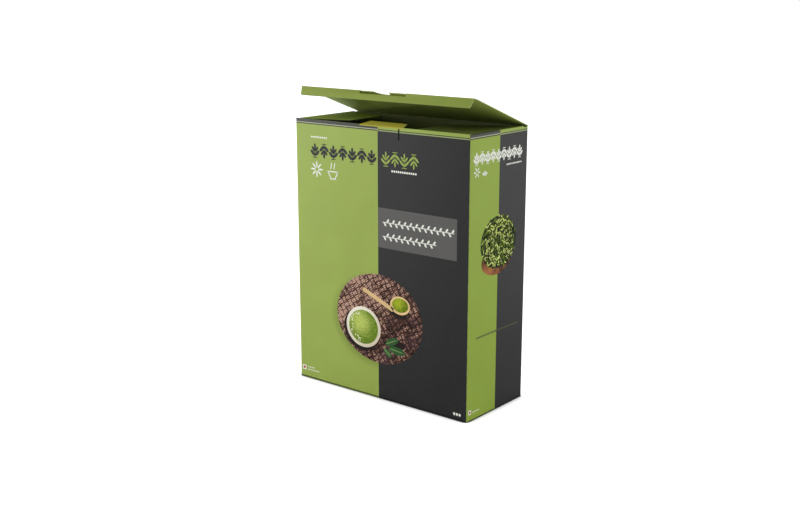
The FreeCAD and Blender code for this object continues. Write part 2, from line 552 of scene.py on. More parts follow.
GREEN_INK = PrintedBoard("green_ink", GREEN, rub=GREEN_RUB)
FRONT_GREEN_INK = PrintedBoard("front_green_ink", GREEN, rub=GREEN_RUB, halo=Halo(-2.6, 54.8, 38.0, 31.6))
SIDE_GREEN_INK = PrintedBoard("side_green_ink", SIDE_GREEN, rub=GREEN_RUB)
PANEL_INK = PrintedBoard("panel_green_ink", PANEL_GREEN, roughness=0.6, specular=0.12)
DARK_INK = PrintedBoard("dark_ink", DARK, rub=ink(110, 112, 104), mottle=0.08, fibre=0.006)
PALE_INK = PrintedBoard("pale_line_ink", ink(176, 180, 152), mottle=0.02)
PALE_GREEN_INK = PrintedBoard("pale_green_line_ink", ink(152, 166, 112), mottle=0.02)
LINE_INK = PrintedBoard("deep_line_ink", ink(40, 48, 22), mottle=0.04)
WHITE_INK = PrintedBoard("white_ink", ink(238, 240, 230), mottle=0.02)
LABEL_INK = PrintedBoard("label_grey_ink", ink(87, 86, 84), mottle=0.05)
FLAP_INK = PrintedBoard("dust_flap_ink", PANEL_GREEN, roughness=0.85, specular=0.03, grain_depth=0.008)
# The right dust flap's ink is a darker green than the left flap's: painted shade where it lies under the lid.
FLAP_PAINTED_SHADE_INK = PrintedBoard("dust_flap_painted_shade_ink", ink(90, 100, 46), roughness=0.85, specular=0.03,
                              grain_depth=0.008)
# The dust flaps' cut edges take a dark ink in place of the pale cut board: painted shade of the gap beside the front
# wall.
FLAP_EDGE_SHADE_INK = PrintedBoard("dust_flap_edge_painted_shade_ink", ink(56, 62, 34), roughness=0.8, specular=0.05)
LINING_INK = PrintedBoard("green_lining", LINING, roughness=0.62, specular=0.1, grain_depth=0.014)
CUT_BOARD = PrintedBoard("cut_board", CORE, roughness=0.75, specular=0.2, mottle=0.08, grain_depth=0.02)
MUSTARD_INK = PrintedBoard("mustard_ink", ink(170, 162, 56), mottle=0.05, specular=0.14)
BAND_DARK_INK = PrintedBoard("band_dark_ink", ink(38, 43, 33), mottle=0.08, specular=0.3)
# Near-black ink along the broad walls' foot and beside the slit: painted shade of the base and of the cut.
FOOT_AND_SLIT_SHADE_INK = PrintedBoard("crease_ink", ink(9, 10, 7), specular=0.05)
BAND_INKS = (BAND_DARK_INK, GREEN_INK)
RED_INK = PrintedBoard("red_mark_ink", ink(176, 58, 46), mottle=0.04)
FROTH_INK = PrintedBoard("froth_ink", ink(226, 236, 180), mottle=0.06)
FINE_ROW_INK = PrintedBoard("fine_row_ink", ink(70, 78, 44), mottle=0.05)
MAT_WEAVE = PrintedWeave("woven_mat", ink(18, 7, 4), ink(102, 66, 54), ink(210, 172, 150), ink(92, 66, 76))
MAT_SHADOW = PrintedBoard("mat_shadow_ink", ink(26, 12, 8), mottle=0.2, specular=0.12)
SCOOP_WOOD = PrintedBoard("scoop_wood", ink(228, 194, 138), mottle=0.14)
LEAF_DEEP = PrintedBoard("leaf_deep", ink(36, 84, 40), mottle=0.25)
LEAF_PALE = PrintedBoard("leaf_pale", ink(134, 160, 84), mottle=0.1)
LEAF_GAP = PrintedBoard("leaf_gap", ink(20, 28, 4), mottle=0.2, specular=0.05)
LEAF_SHADE = PrintedBoard("leaf_shade", ink(62, 82, 12), mottle=0.3, specular=0.06)
LEAF_MIDDLE = PrintedBoard("leaf_middle", ink(112, 136, 34), mottle=0.3, specular=0.06)
LEAF_BRIGHT = PrintedBoard("leaf_bright", ink(216, 230, 132), mottle=0.2, specular=0.06)


# ---------------------------------------------------------------------------------------------
# Bench work: primitives, selections and cuts
# ---------------------------------------------------------------------------------------------

def let_go() -> None:
    """Deselect everything."""
    bpy.ops.object.select_all(action="DESELECT")


def take_up(piece: Piece) -> None:
    """Make one piece the only selected and the active one.

    Args:
        piece: The piece.
    """
    let_go()
    piece.select_set(True)
    bpy.context.view_layer.objects.active = piece


@contextmanager
def shaping(piece: Piece, kind: str = "FACE") -> Iterator[None]:
    """Edit a piece's mesh.

    Args:
        piece: The piece.
        kind: VERT, EDGE or FACE, what is selected.

    Yields:
        Nothing; the piece is in edit mode meanwhile, with all of it selected.
    """
    take_up(piece)
    bpy.ops.object.mode_set(mode="EDIT")
    bpy.ops.mesh.select_mode(type=kind)
    bpy.ops.mesh.select_all(action="SELECT")
    try:
        yield
    finally:
        bpy.ops.object.mode_set(mode="OBJECT")


def where(part: bmesh.types.BMVert | bmesh.types.BMEdge | bmesh.types.BMFace) -> tuple[Vector, ...]:
    """What a test is told of a part of a mesh.

    Args:
        part: A point, an edge or a face.

    Returns:
        A point's place, an edge's middle and direction, or a face's middle and normal, in millimetres.
    """
    if isinstance(part, bmesh.types.BMVert):
        return (part.co / MM,)
    if isinstance(part, bmesh.types.BMFace):
        return part.calc_center_median() / MM, part.normal
    first, second = (vertex.co for vertex in part.verts)
    return (first + second) / 2 / MM, (second - first).normalized()


def pick(piece: Piece, parts: str, test: PartTest) -> None:
    """Select the parts of a mesh in edit mode that a test takes.

    Args:
        piece: The piece.
        parts: verts, edges or faces.
        test: Takes what `where` tells of a part.
    """
    mesh = bmesh.from_edit_mesh(piece.data)
    bpy.ops.mesh.select_all(action="DESELECT")
    for part in getattr(mesh, parts):
        part.select_set(test(*where(part)))
    bmesh.update_edit_mesh(piece.data)


def settle(piece: Piece) -> None:
    """Apply the piece's place, turn and size to its mesh."""
    take_up(piece)
    bpy.ops.object.transform_apply(location=True, rotation=True, scale=True)


def take_new(name: str, scale: Sequence[float] = (1, 1, 1)) -> Piece:
    """Name the primitive just added, give it its size and settle it.

    Args:
        name: Its name.
        scale: Its size.

    Returns:
        The piece.
    """
    piece = bpy.context.active_object
    piece.name = name
    piece.scale = scale
    settle(piece)
    return piece


def add_block(name: str, low: Point, high: Point) -> Piece:
    """A block between two corners.

    Args:
        name: The piece's name.
        low: Lowest corner.
        high: Highest corner.

    Returns:
        The block.
    """
    let_go()
    bpy.ops.mesh.primitive_cube_add(size=1, location=[(a + b) / 2 * MM for a, b in zip(low, high)])
    return take_new(name, [(b - a) * MM for a, b in zip(low, high)])


@dataclass(frozen=True)
class Oval:
    """An oval of a drawing: its middle, half its size each way, and the points round its edge."""

    across: float
    up: float
    half_across: float
    half_up: float
    points: int = 32


def add_plate(name: str, oval: Oval, bottom: float, top: float) -> Piece:
    """A flat oval plate, lying in the drawing plane.

    Args:
        name: The piece's name.
        oval: Its outline.
        bottom: Height of its underside.
        top: Height of its face.

    Returns:
        The plate.
    """
    let_go()
    bpy.ops.mesh.primitive_circle_add(
        vertices=oval.points, radius=1, fill_type="NGON", location=(oval.across * MM, oval.up * MM, bottom * MM))
    plate = take_new(name, (oval.half_across * MM, oval.half_up * MM, 1))
    with shaping(plate):
        bpy.ops.mesh.extrude_region_move(TRANSFORM_OT_translate={"value": (0, 0, (top - bottom) * MM)})
        bpy.ops.mesh.select_all(action="SELECT")
        bpy.ops.mesh.normals_make_consistent(inside=False)
    return plate


def cut(piece: Piece, at: Point, normal: Point, drop_front: bool = False, test: PartTest | None = None) -> None:
    """Cut through a piece with a plane, and drop and close one side where asked.

    Args:
        piece: The piece.
        at: A point on the plane.
        normal: The plane's normal.
        drop_front: Drop what lies on the normal's side.
        test: Which faces the cut goes through; all of them if left out.
    """
    with shaping(piece):
        if test:
            pick(piece, "faces", test)
        bpy.ops.mesh.bisect(plane_co=[value * MM for value in at], plane_no=Vector(normal).normalized(),
                            use_fill=drop_front, clear_outer=drop_front, threshold=1e-7)


def drop_faces(piece: Piece, test: PartTest) -> None:
    """Delete the faces that a test takes.

    Args:
        piece: The piece.
        test: Which faces.
    """
    with shaping(piece):
        pick(piece, "faces", test)
        bpy.ops.mesh.delete(type="FACE")


def round_edges(piece: Piece, test: PartTest, radius: float, steps: int) -> None:
    """Round the edges that a test takes.

    Args:
        piece: The piece.
        test: Which edges.
        radius: Radius of the rounding.
        steps: Facets in it.
    """
    with shaping(piece, "EDGE"):
        pick(piece, "edges", test)
        bpy.ops.mesh.bevel(offset=radius * MM, segments=steps, profile=0.5, clamp_overlap=False)


def runs_up(middle: Vector, way: Vector) -> bool:
    """Whether an edge, or a face's normal, runs straight up or down."""
    return abs(way.z) > SQUARELY


def work_in(piece: Piece, kind: str, **settings: object) -> None:
    """Put a modifier on a piece and apply it.

    Args:
        piece: The piece.
        kind: Blender's name for the modifier.
        settings: Its settings by name.
    """
    take_up(piece)
    modifier = piece.modifiers.new(kind.lower(), kind)
    for key, value in settings.items():
        setattr(modifier, key, value)
    bpy.ops.object.modifier_apply(modifier=modifier.name)


def subtract(piece: Piece, cutter: Piece) -> None:
    """Cut one piece's shape out of another, and throw the cutter away."""
    work_in(piece, "BOOLEAN", operation="DIFFERENCE", solver="EXACT", object=cutter)
    bpy.data.objects.remove(cutter, do_unlink=True)


def thicken(piece: Piece, thickness: float) -> None:
    """Give an open skin a thickness, inwards from its face."""
    work_in(piece, "SOLIDIFY", thickness=thickness * MM, offset=-1, use_even_offset=True)


def soften(piece: Piece, width: float, angle: float = 40.0) -> None:
    """Take the sharpness off a piece's edges that are sharper than an angle, as pressed board has it."""
    work_in(piece, "BEVEL", width=width * MM, segments=2, limit_method="ANGLE", angle_limit=math.radians(angle))


def smooth(piece: Piece, angle: float = 35.0) -> None:
    """Shade a piece smooth, except over edges sharper than an angle."""
    take_up(piece)
    bpy.ops.object.shade_smooth_by_angle(angle=math.radians(angle))


def copy_of(piece: Piece, name: str, move: Matrix | None = None) -> Piece:
    """A copy with a mesh of its own.

    Args:
        piece: What is copied.
        name: The copy's name.
        move: Where the copy goes, in metres.

    Returns:
        The copy.
    """
    twin = piece.copy()
    twin.data = piece.data.copy()
    twin.name = name
    bpy.context.collection.objects.link(twin)
    if move is not None:
        twin.data.transform(move)
    return twin


def joined(name: str, pieces: Sequence[Piece]) -> Piece:
    """Join pieces into one.

    Args:
        name: The joined piece's name.
        pieces: What is joined.

    Returns:
        The joined piece.
    """
    let_go()
    for piece in pieces:
        piece.select_set(True)
    bpy.context.view_layer.objects.active = pieces[0]
    if len(pieces) > 1:
        bpy.ops.object.join()
    whole = bpy.context.view_layer.objects.active
    whole.name = name
    whole.data.name = name
    return whole


def placing(first: Vector, second: Vector, third: Vector, at: Vector) -> Matrix:
    """The move, in metres, that turns a drawing's x, y and z to three ways and puts its origin at a place."""
    return Matrix.Translation(at * MM) @ Matrix((first, second, third)).transposed().to_4x4()


def dress(piece: Piece, finishes: Sequence[object], rule: Callable[[Vector, Vector], int] | None = None) -> None:
    """Give a piece its finishes, face by face.

    Args:
        piece: The piece.
        finishes: Its finishes, in order.
        rule: Which finish a face takes, by its middle in millimetres and its normal.
    """
    piece.data.materials.clear()
    for finish in finishes:
        piece.data.materials.append(finish.material())
    if rule:
        for polygon in piece.data.polygons:
            polygon.material_index = rule(polygon.center / MM, polygon.normal)


def hand_over(piece: Piece, body: str, node: str = "") -> Piece:
    """Ride a finished piece on its body, and hide the CAD node that it stands for.

    Args:
        piece: The piece.
        body: The CAD body.
        node: The CAD node it replaces, if any.

    Returns:
        The piece.
    """
    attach(piece, body)
    if node:
        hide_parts(node)
    log.info("%s rides on %s, %d faces", piece.name, body, len(piece.data.polygons))
    return piece


# ---------------------------------------------------------------------------------------------
# Carton walls
# ---------------------------------------------------------------------------------------------

class Wall(Enum):
    """A wall of the carton, by the way it faces."""

    FRONT = (0, -1)
    RIGHT = (1, 0)
    BACK = (0, 1)
    LEFT = (-1, 0)

    @property
    def normal(self) -> Vector:
        """The way the wall faces."""
        return Vector((*self.value, 0))

    @property
    def across(self) -> Vector:
        """To the right along the wall, as it is looked at."""
        return Vector((-self.value[1], self.value[0], 0))

    @property
    def broad(self) -> bool:
        """Whether it is one of the two broad walls."""
        return self.value[0] == 0

    @property
    def reach(self) -> float:
        """How far it stands from the carton's middle."""
        return HALF_DEPTH if self.broad else HALF_WIDTH

    @property
    def label(self) -> str:
        """The wall's name in piece names."""
        return self.name.lower()


class WallInk(IntEnum):
    """The inks of a wall's skin, in the order of its slots."""

    FIELD = 0
    DARK = 1
    PALE = 2
    LINE = 3
    BAND = 4
    PALE_GREEN = 5
    DARK_BAND = 6
    # Near-black painted shade along the broad walls' foot and beside the slit.
    CREASE = 7


@dataclass(frozen=True)
class CartonSize:
    """The walls' sizes, and the heights that their print and their cut-outs keep to."""

    height: float = 190.0
    corner: float = 1.0
    corner_facets: int = 6
    foot: float = 0.5
    back_top: float = 189.25
    side_top: float = 188.95
    side_reach: float = 31.4
    tab_left: float = -15.95
    tab_right: float = 20.95
    slit_at: float = 18.0
    slit_half: float = 0.35
    slit_foot: float = 181.5
    # The next two size the near-black painted shade beside the slit and along the foot.
    slit_shade_width: float = 0.22
    foot_line: float = 0.95
    band_foot: float = 187.85
    first_line_foot: float = 187.3
    second_line_foot: float = 186.6
    skin: float = 0.03
    skin_thickness: float = 0.05


@dataclass
class CartonWalls:
    """The printed skin of the four walls, and the finish of the body behind it."""

    size: CartonSize = CartonSize()

    def build(self) -> list[Piece]:
        """Model the four printed skins and dress the carton's body.

        Returns:
            The skins.
        """
        core = CoreBoard("carton_board", INNER_LINING_PAINTED_SHADE, CORE, GREEN, DARK).material()
        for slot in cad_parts["carton_body"].material_slots:
            slot.material = core
        sleeve = self._sleeve()
        skins = [self._skin(sleeve, wall) for wall in Wall]
        bpy.data.objects.remove(sleeve, do_unlink=True)
        return skins

    def _sleeve(self) -> Piece:
        """The open sleeve round all four walls, cut along every line of the print, of the painted shade at the foot
        and by the slit, and every cut-out.

        Returns:
            The sleeve.
        """
        size = self.size
        half_x, half_y = HALF_WIDTH + size.skin, HALF_DEPTH + size.skin
        sleeve = add_block("sleeve", (-half_x, -half_y, size.foot), (half_x, half_y, size.height))
        round_edges(sleeve, runs_up, size.corner + size.skin, size.corner_facets)
        drop_faces(sleeve, runs_up)
        for height in (size.foot_line, size.second_line_foot, size.first_line_foot, size.band_foot,
                       size.side_top, size.back_top, size.slit_foot):
            cut(sleeve, (0, 0, height), (0, 0, 1))
        slit_sides = [size.slit_at + side * reach for side in (-1, 1)
                      for reach in (size.slit_half, size.slit_half + size.slit_shade_width)]
        for place in (0.0, size.tab_left, size.tab_right, *slit_sides):
            cut(sleeve, (place, 0, 0), (1, 0, 0), test=lambda middle, normal: normal.y < -SQUARELY)
        cut(sleeve, (0, 0, 0), (1, 0, 0), test=lambda middle, normal: normal.y > SQUARELY)
        for place in (0.0, -size.side_reach, size.side_reach):
            cut(sleeve, (0, place, 0), (0, 1, 0), test=lambda middle, normal: abs(normal.x) > SQUARELY)
        drop_faces(sleeve, self._is_cut_away)
        return sleeve

    def _is_cut_away(self, middle: Vector, normal: Vector) -> bool:
        """Whether a face of the sleeve lies where the board is cut away.

        Args:
            middle: The face's middle.
            normal: Its normal.

        Returns:
            Whether it is cut away.
        """
        size = self.size
        over_side = abs(normal.x) > SQUARELY and abs(middle.y) < size.side_reach and middle.z > size.side_top
        over_back = middle.y > size.side_reach and middle.z > size.back_top
        front = normal.y < -SQUARELY
        over_tab = front and size.tab_left < middle.x < size.tab_right and middle.z > size.back_top
        in_slit = front and abs(middle.x - size.slit_at) < size.slit_half and middle.z > size.slit_foot
        return over_side or over_back or over_tab or in_slit

    def _skin(self, sleeve: Piece, wall: Wall) -> Piece:
        """One wall's share of the sleeve, with its inks.

        Args:
            sleeve: The whole sleeve.
            wall: Which wall.

        Returns:
            The skin.
        """
        skin = copy_of(sleeve, f"print_{wall.label}")
        half_way = math.cos(math.radians(45))
        drop_faces(skin, lambda middle, normal: normal.dot(wall.normal) < half_way)
        field_green = FRONT_GREEN_INK if wall is Wall.FRONT else GREEN_INK if wall.broad else SIDE_GREEN_INK
        inks = (field_green, DARK_INK, PALE_INK, LINE_INK, GREEN_INK, PALE_GREEN_INK, BAND_DARK_INK, FOOT_AND_SLIT_SHADE_INK)
        dress(skin, inks, lambda middle, normal: self._ink_at(middle, wall))
        thicken(skin, self.size.skin_thickness)
        smooth(skin)
        return hand_over(skin, "carton")

    def _ink_at(self, middle: Vector, wall: Wall) -> WallInk:
        """Which ink a face of a skin takes.

        Args:
            middle: The face's middle.
            wall: The skin's wall.

        Returns:
            The ink.
        """
        size = self.size
        on_left = middle.dot(wall.across) < 0
        # Faces along the broad walls' foot and beside the slit take a near-black ink: painted shade.
        in_slit_shade = abs(middle.x - size.slit_at) < size.slit_half + size.slit_shade_width and middle.z > size.slit_foot
        if (wall.broad and middle.z < size.foot_line) or (wall is Wall.FRONT and in_slit_shade):
            return WallInk.CREASE
        if middle.z > size.band_foot:
            return WallInk.DARK_BAND if on_left else WallInk.BAND
        if middle.z > size.first_line_foot:
            return WallInk.PALE if on_left else WallInk.LINE
        if middle.z > size.second_line_foot:
            return WallInk.LINE if on_left else WallInk.PALE_GREEN
        return WallInk.FIELD if on_left else WallInk.DARK


# ---------------------------------------------------------------------------------------------
# Folded panels
# ---------------------------------------------------------------------------------------------

@dataclass(frozen=True)
class Crease:
    """Where a panel turns: a point on its axis, the way along it, and the way the panel runs at rest."""

    at: Vector
    along: Vector
    run: Vector

    def matrix(self) -> Matrix:
        """The move that takes a panel drawn with its crease on the x axis to its place, in metres."""
        return placing(self.along, self.run, self.along.cross(self.run), self.at)


def tilted(outward: Point, degrees: float) -> Vector:
    """The way a panel runs: outward, turned up by an angle."""
    rise = math.radians(degrees)
    return Vector(outward) * math.cos(rise) + UPRIGHT * math.sin(rise)


class SheetSide(IntEnum):
    """The sides of a sheet of board, in the order of its slots."""

    OUTER = 0
    LINING = 1
    EDGE = 2


@dataclass
class FoldedPanels:
    """The lid with its tuck flap, the two dust flaps and the locking tab."""

    board: float = 0.6
    pressed_round: float = 0.995
    pressed_facets: int = 5
    corner_facets: int = 6
    corner_reach: float = 0.2
    lid_half: float = 74.75
    lid_length: float = 63.9
    lid_free_edge: float = 63.45
    lid_corner: float = 1.0
    lid_lift: float = 20.0
    thumb_radius: float = 6.5
    thumb_place: float = -2.0
    thumb_points: int = 64
    tuck_half: float = 73.6
    tuck_taper: float = 1.4
    tuck_length: float = 6.3
    tuck_corner: float = 0.8
    tuck_fold: float = 85.0
    slot_left: float = -19.925
    slot_right: float = 19.825
    slot_height: float = 2.1
    slot_corner: float = 0.5
    cutter_reach: float = 2.0
    tab_centre: float = 2.5
    tab_half: float = 18.25
    tab_length: float = 8.6
    tab_taper: float = 2.5
    tab_corner: float = 1.0
    tab_lift: float = 11.0
    flap_back: float = -27.8
    flap_front: float = 31.0
    flap_length: float = 49.5
    flap_end: float = 35.0
    flap_corner: float = 2.5
    flap_lifts: Spot = (2.3, -1.0)
    crease_inset: float = 0.3
    top_crease: float = 189.7
    side_crease: float = 189.4
    edge_softness: float = 0.07
    crease_edge: float = 0.05

    def __post_init__(self) -> None:
        """Work out where every crease is."""
        back, left, front, right = (0, 1, 0), (-1, 0, 0), (0, -1, 0), (1, 0, 0)
        lid_run = tilted(front, self.lid_lift)
        lid_at = Vector((0, HALF_DEPTH - self.crease_inset, self.top_crease))
        side_x = HALF_WIDTH - self.crease_inset
        self.lid_crease = Crease(lid_at, Vector(left), lid_run)
        self.tuck_crease = Crease(lid_at + lid_run * self.lid_length, Vector(left),
                                  tilted(front, self.lid_lift - self.tuck_fold))
        self.tab_crease = Crease(Vector((0, -HALF_DEPTH + self.crease_inset, self.top_crease)), Vector(right),
                                 tilted(back, self.tab_lift))
        self.left_crease = Crease(Vector((-side_x, 0, self.side_crease)), Vector(front),
                                  tilted(right, self.flap_lifts[0]))
        self.right_crease = Crease(Vector((side_x, 0, self.side_crease)), Vector(back),
                                   tilted(left, self.flap_lifts[1]))

    @property
    def tab_ends(self) -> Spot:
        """The two ends of the locking tab's crease."""
        return self.tab_centre - self.tab_half, self.tab_centre + self.tab_half

    def build(self) -> list[Piece]:
        """Model every panel and put it on its crease.

        Returns:
            The panels.
        """
        return [
            self._finish(self._lid(), self.lid_crease, PANEL_INK, "lid", "lid_panel"),
            self._finish(self._tuck(), self.tuck_crease, PANEL_INK, "tuck", "tuck_flap"),
            self._finish(self._tab(), self.tab_crease, MUSTARD_INK, "tab", "lock_tab"),
            self._finish(self._flap("dust_flap_left_board", False), self.left_crease, FLAP_INK,
                         "flap_left", "dust_flap_left"),
            # The right dust flap takes the darker ink, which is painted shade under the lid.
            self._finish(self._flap("dust_flap_right_board", True), self.right_crease, FLAP_PAINTED_SHADE_INK,
                         "flap_right", "dust_flap_right"),
        ]

    def _sheet(self, name: str, left: float, right: float, length: float) -> Piece:
        """A sheet of board with its crease edge pressed round.

        Args:
            name: The piece's name.
            left: Left end of the crease.
            right: Right end of the crease.
            length: How far it runs from the crease.

        Returns:
            The sheet.
        """
        half = self.board / 2
        sheet = add_block(name, (left, -half, -half), (right, length, half))
        round_edges(sheet, lambda middle, way: abs(way.x) > SQUARELY and middle.y < -half * SQUARELY,
                    half * self.pressed_round, self.pressed_facets)
        return sheet

    def _round_corners(self, sheet: Piece, length: float, radius: float) -> None:
        """Round the upright corners at a sheet's free edge, its length away from the crease."""
        round_edges(sheet, lambda middle, way: runs_up(middle, way) and middle.y > length - self.corner_reach,
                    radius, self.corner_facets)

    def _taper(self, sheet: Piece, ends: Spot, length: float, taper: float) -> None:
        """Cut both ends of a sheet aslant, so that each comes in by the taper over the sheet's length."""
        for side, end in zip((-1, 1), ends):
            cut(sheet, (end, 0, 0), (side * length, taper, 0), drop_front=True)

    def _lid(self) -> Piece:
        """The lid, with its thumb notch.

        Returns:
            The flat lid.
        """
        lid = self._sheet("lid_board", -self.lid_half, self.lid_half, self.lid_free_edge)
        self._round_corners(lid, self.lid_free_edge, self.lid_corner)
        notch = Oval(-self.thumb_place, self.lid_free_edge, self.thumb_radius, self.thumb_radius, self.thumb_points)
        subtract(lid, add_plate("notch", notch, -self.cutter_reach, self.cutter_reach))
        return lid

    def _tuck(self) -> Piece:
        """The tuck flap, with the slot for the locking tab. Its drawing's x runs against the carton's.

        Returns:
            The flat flap.
        """
        tuck = self._sheet("tuck_board", -self.tuck_half, self.tuck_half, self.tuck_length)
        self._taper(tuck, (-self.tuck_half, self.tuck_half), self.tuck_length, self.tuck_taper)
        self._round_corners(tuck, self.tuck_length, self.tuck_corner)
        slot = add_block("slot", (-self.slot_right, -self.cutter_reach, -self.cutter_reach),
                         (-self.slot_left, self.slot_height, self.cutter_reach))
        self._round_corners(slot, self.slot_height, self.slot_corner)
        subtract(tuck, slot)
        return tuck

    def _tab(self) -> Piece:
        """The tapered locking tab.

        Returns:
            The flat tab.
        """
        tab = self._sheet("lock_tab_board", *self.tab_ends, self.tab_length)
        self._taper(tab, self.tab_ends, self.tab_length, self.tab_taper)
        self._round_corners(tab, self.tab_length, self.tab_corner)
        return tab

    def _flap(self, name: str, mirrored: bool) -> Piece:
        """A dust flap, drawn with its front edge at high x.

        Args:
            name: The piece's name.
            mirrored: Whether its front edge goes to low x instead.

        Returns:
            The flat flap.
        """
        flap = self._sheet(name, self.flap_back, self.flap_front, self.flap_length)
        slant = self.flap_front - self.flap_end - self.flap_back
        cut(flap, (self.flap_back, 0, 0), (-self.flap_length, slant, 0), drop_front=True)
        self._round_corners(flap, self.flap_length, self.flap_corner)
        if mirrored:
            flap.scale.x = -1
            settle(flap)
            with shaping(flap):
                bpy.ops.mesh.normals_make_consistent(inside=False)
        return flap

    def _finish(self, sheet: Piece, crease: Crease, face: PrintedBoard, body: str,
                node: str) -> Piece:
        """Soften a sheet's edges, give it its inks and put it on its crease.

        Args:
            sheet: The flat sheet.
            crease: Where it goes.
            face: Ink on its outer face.
            body: The CAD body it rides on.
            node: The CAD node that it replaces.

        Returns:
            The finished panel.
        """
        soften(sheet, self.edge_softness)
        # Dust flaps get the dark edge ink, which is painted shade; the other sheets show the cut board.
        edge = FLAP_EDGE_SHADE_INK if face in (FLAP_INK, FLAP_PAINTED_SHADE_INK) else CUT_BOARD
        dress(sheet, (face, LINING_INK, edge), self._side_of)
        sheet.data.transform(crease.matrix())
        smooth(sheet)
        return hand_over(sheet, body, node)

    def _side_of(self, middle: Vector, normal: Vector) -> SheetSide:
        """Which side of a flat sheet a face belongs to. The pressed crease edge has no cut side.

        Args:
            middle: The face's middle.
            normal: Its normal.

        Returns:
            The side.
        """
        if middle.y < self.crease_edge:
            return SheetSide.LINING if normal.z < -0.3 else SheetSide.OUTER
        if normal.z > 0.5:
            return SheetSide.OUTER
        return SheetSide.LINING if normal.z < -0.5 else SheetSide.EDGE


# ---------------------------------------------------------------------------------------------
# Crease strips
# ---------------------------------------------------------------------------------------------

@dataclass(frozen=True)
class StripPlan:
    """One strip: its crease and its two ends there, the bodies it joins, its inks, and a slot that is not used.

    A strip with two inks is a piece of the walls' top band, and takes the second ink past its middle.
    """

    name: str
    crease: Crease
    ends: Spot
    bodies: tuple[str, str]
    inks: Sequence[PrintedBoard]
    slot: str = "green_board"


@dataclass
class CreaseStrips:
    """The bent skin of the board over each crease, which joins a wall to the panel that turns on it."""

    panels: FoldedPanels
    radius: float = 0.335
    thickness: float = 0.04
    tail: float = 0.45
    band_tail: float = 1.3
    hold: float = 0.14
    facets: int = 48
    smooth_angle: float = 50.0
    long_edge: float = 0.5

    def build(self) -> list[Piece]:
        """Model every strip.

        Returns:
            The strips.
        """
        panels = self.panels
        plans = (
            StripPlan("lid_crease", panels.lid_crease, (-panels.lid_half, panels.lid_half),
                      ("carton", "lid"), BAND_INKS),
            StripPlan("dust_flap_left_crease", panels.left_crease, (panels.flap_back, panels.flap_front),
                      ("carton", "flap_left"), BAND_INKS),
            StripPlan("dust_flap_right_crease", panels.right_crease, (-panels.flap_front, -panels.flap_back),
                      ("carton", "flap_right"), BAND_INKS),
            StripPlan("lock_tab_crease", panels.tab_crease, panels.tab_ends,
                      ("carton", "tab"), (MUSTARD_INK,), "mustard_board"),
            StripPlan("tuck_crease_left", panels.tuck_crease, (-panels.slot_left, panels.tuck_half),
                      ("lid", "tuck"), (PANEL_INK,)),
            StripPlan("tuck_crease_right", panels.tuck_crease, (-panels.tuck_half, -panels.slot_right),
                      ("lid", "tuck"), (PANEL_INK,)),
        )
        return [self._strip(plan) for plan in plans]

    def _strip(self, plan: StripPlan) -> Piece:
        """One strip, drawn with the crease on the x axis and the panel running along y.

        Args:
            plan: What it is.

        Returns:
            The strip.
        """
        crease, (left, right) = plan.crease, plan.ends
        feeder = self.panels.lid_crease.run if plan.bodies[0] == "lid" else UPRIGHT
        outer = crease.along.cross(crease.run)
        incoming = Vector((0, feeder.dot(crease.run), feeder.dot(outer)))
        bend = abs(math.degrees(math.atan2(abs(incoming.z), incoming.y)))
        let_go()
        bpy.ops.mesh.primitive_cylinder_add(
            vertices=self.facets, radius=self.radius * MM, depth=(right - left) * MM,
            location=((left + right) / 2 * MM, 0, 0), rotation=(0, math.pi / 2, 0), end_fill_type="NOTHING")
        strip = take_new(plan.name)
        start = Vector((0, -math.sin(math.radians(bend)), math.cos(math.radians(bend))))
        middle_way = (start + UPRIGHT).normalized()
        half_bend = math.cos(math.radians(bend / 2 + 180 / self.facets))
        drop_faces(strip, lambda middle, normal: normal.dot(middle_way) < half_bend)
        banded = len(plan.inks) > 1
        self._pull_tail(strip, Vector((0, 1, 0)) * (self.band_tail if banded else self.tail), high=True)
        self._pull_tail(strip, -incoming * self.tail, high=False)
        if banded:
            cut(strip, (0, 0, 0), (1, 0, 0))
        dress(strip, plan.inks, lambda middle, normal: 1 if banded and middle.x > 0 else 0)
        thicken(strip, self.thickness)
        place = crease.matrix()
        strip.data.transform(place)
        smooth(strip, self.smooth_angle)
        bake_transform(strip)
        log.info("%s joins %s to %s", plan.name, *plan.bodies)
        return strip

    def _pull_tail(self, strip: Piece, way: Vector, high: bool) -> None:
        """Draw the strip out flat from one of its two long edges.

        Args:
            strip: The strip.
            way: Which way and how far it is drawn.
            high: Whether it is the panel's edge rather than the wall's.
        """
        with shaping(strip, "EDGE"):
            mesh = bmesh.from_edit_mesh(strip.data)
            rims = [edge for edge in mesh.edges if edge.is_boundary
                    and abs((edge.verts[0].co - edge.verts[1].co).x) > self.long_edge * MM]
            rims.sort(key=lambda edge: edge.verts[0].co.y)
            chosen = rims[-1] if high else rims[0]
            bpy.ops.mesh.select_all(action="DESELECT")
            chosen.select_set(True)
            bmesh.update_edit_mesh(strip.data)
            bpy.ops.mesh.extrude_edges_move(TRANSFORM_OT_translate={"value": way * MM})


# ---------------------------------------------------------------------------------------------
# Printed artwork
# ---------------------------------------------------------------------------------------------

@dataclass(frozen=True)
class Stroke:
    """A straight rounded stroke between two points of a drawing."""

    start: Spot
    end: Spot
    width: float


@dataclass(frozen=True)
class Leaf:
    """A pointed leaf: where it grows from, its length, its width and the way it points."""

    root: Spot
    length: float
    width: float
    angle: float


@dataclass(frozen=True)
class Plaque:
    """An upright rectangle: its four sides and the radius of its corners."""

    left: float
    right: float
    foot: float
    head: float
    corner: float


@dataclass(frozen=True)
class SprigRow:
    """A row of sprigs: its ends, foot and height, how many stand in it, and how heavy their leaves are."""

    left: float
    right: float
    foot: float
    height: float
    count: int
    weight: float


@dataclass(frozen=True)
class BeadRow:
    """A fine row of lozenges: its ends and its middle height, a lozenge's height, and the pitch."""

    left: float
    right: float
    middle: float
    size: float
    pitch: float


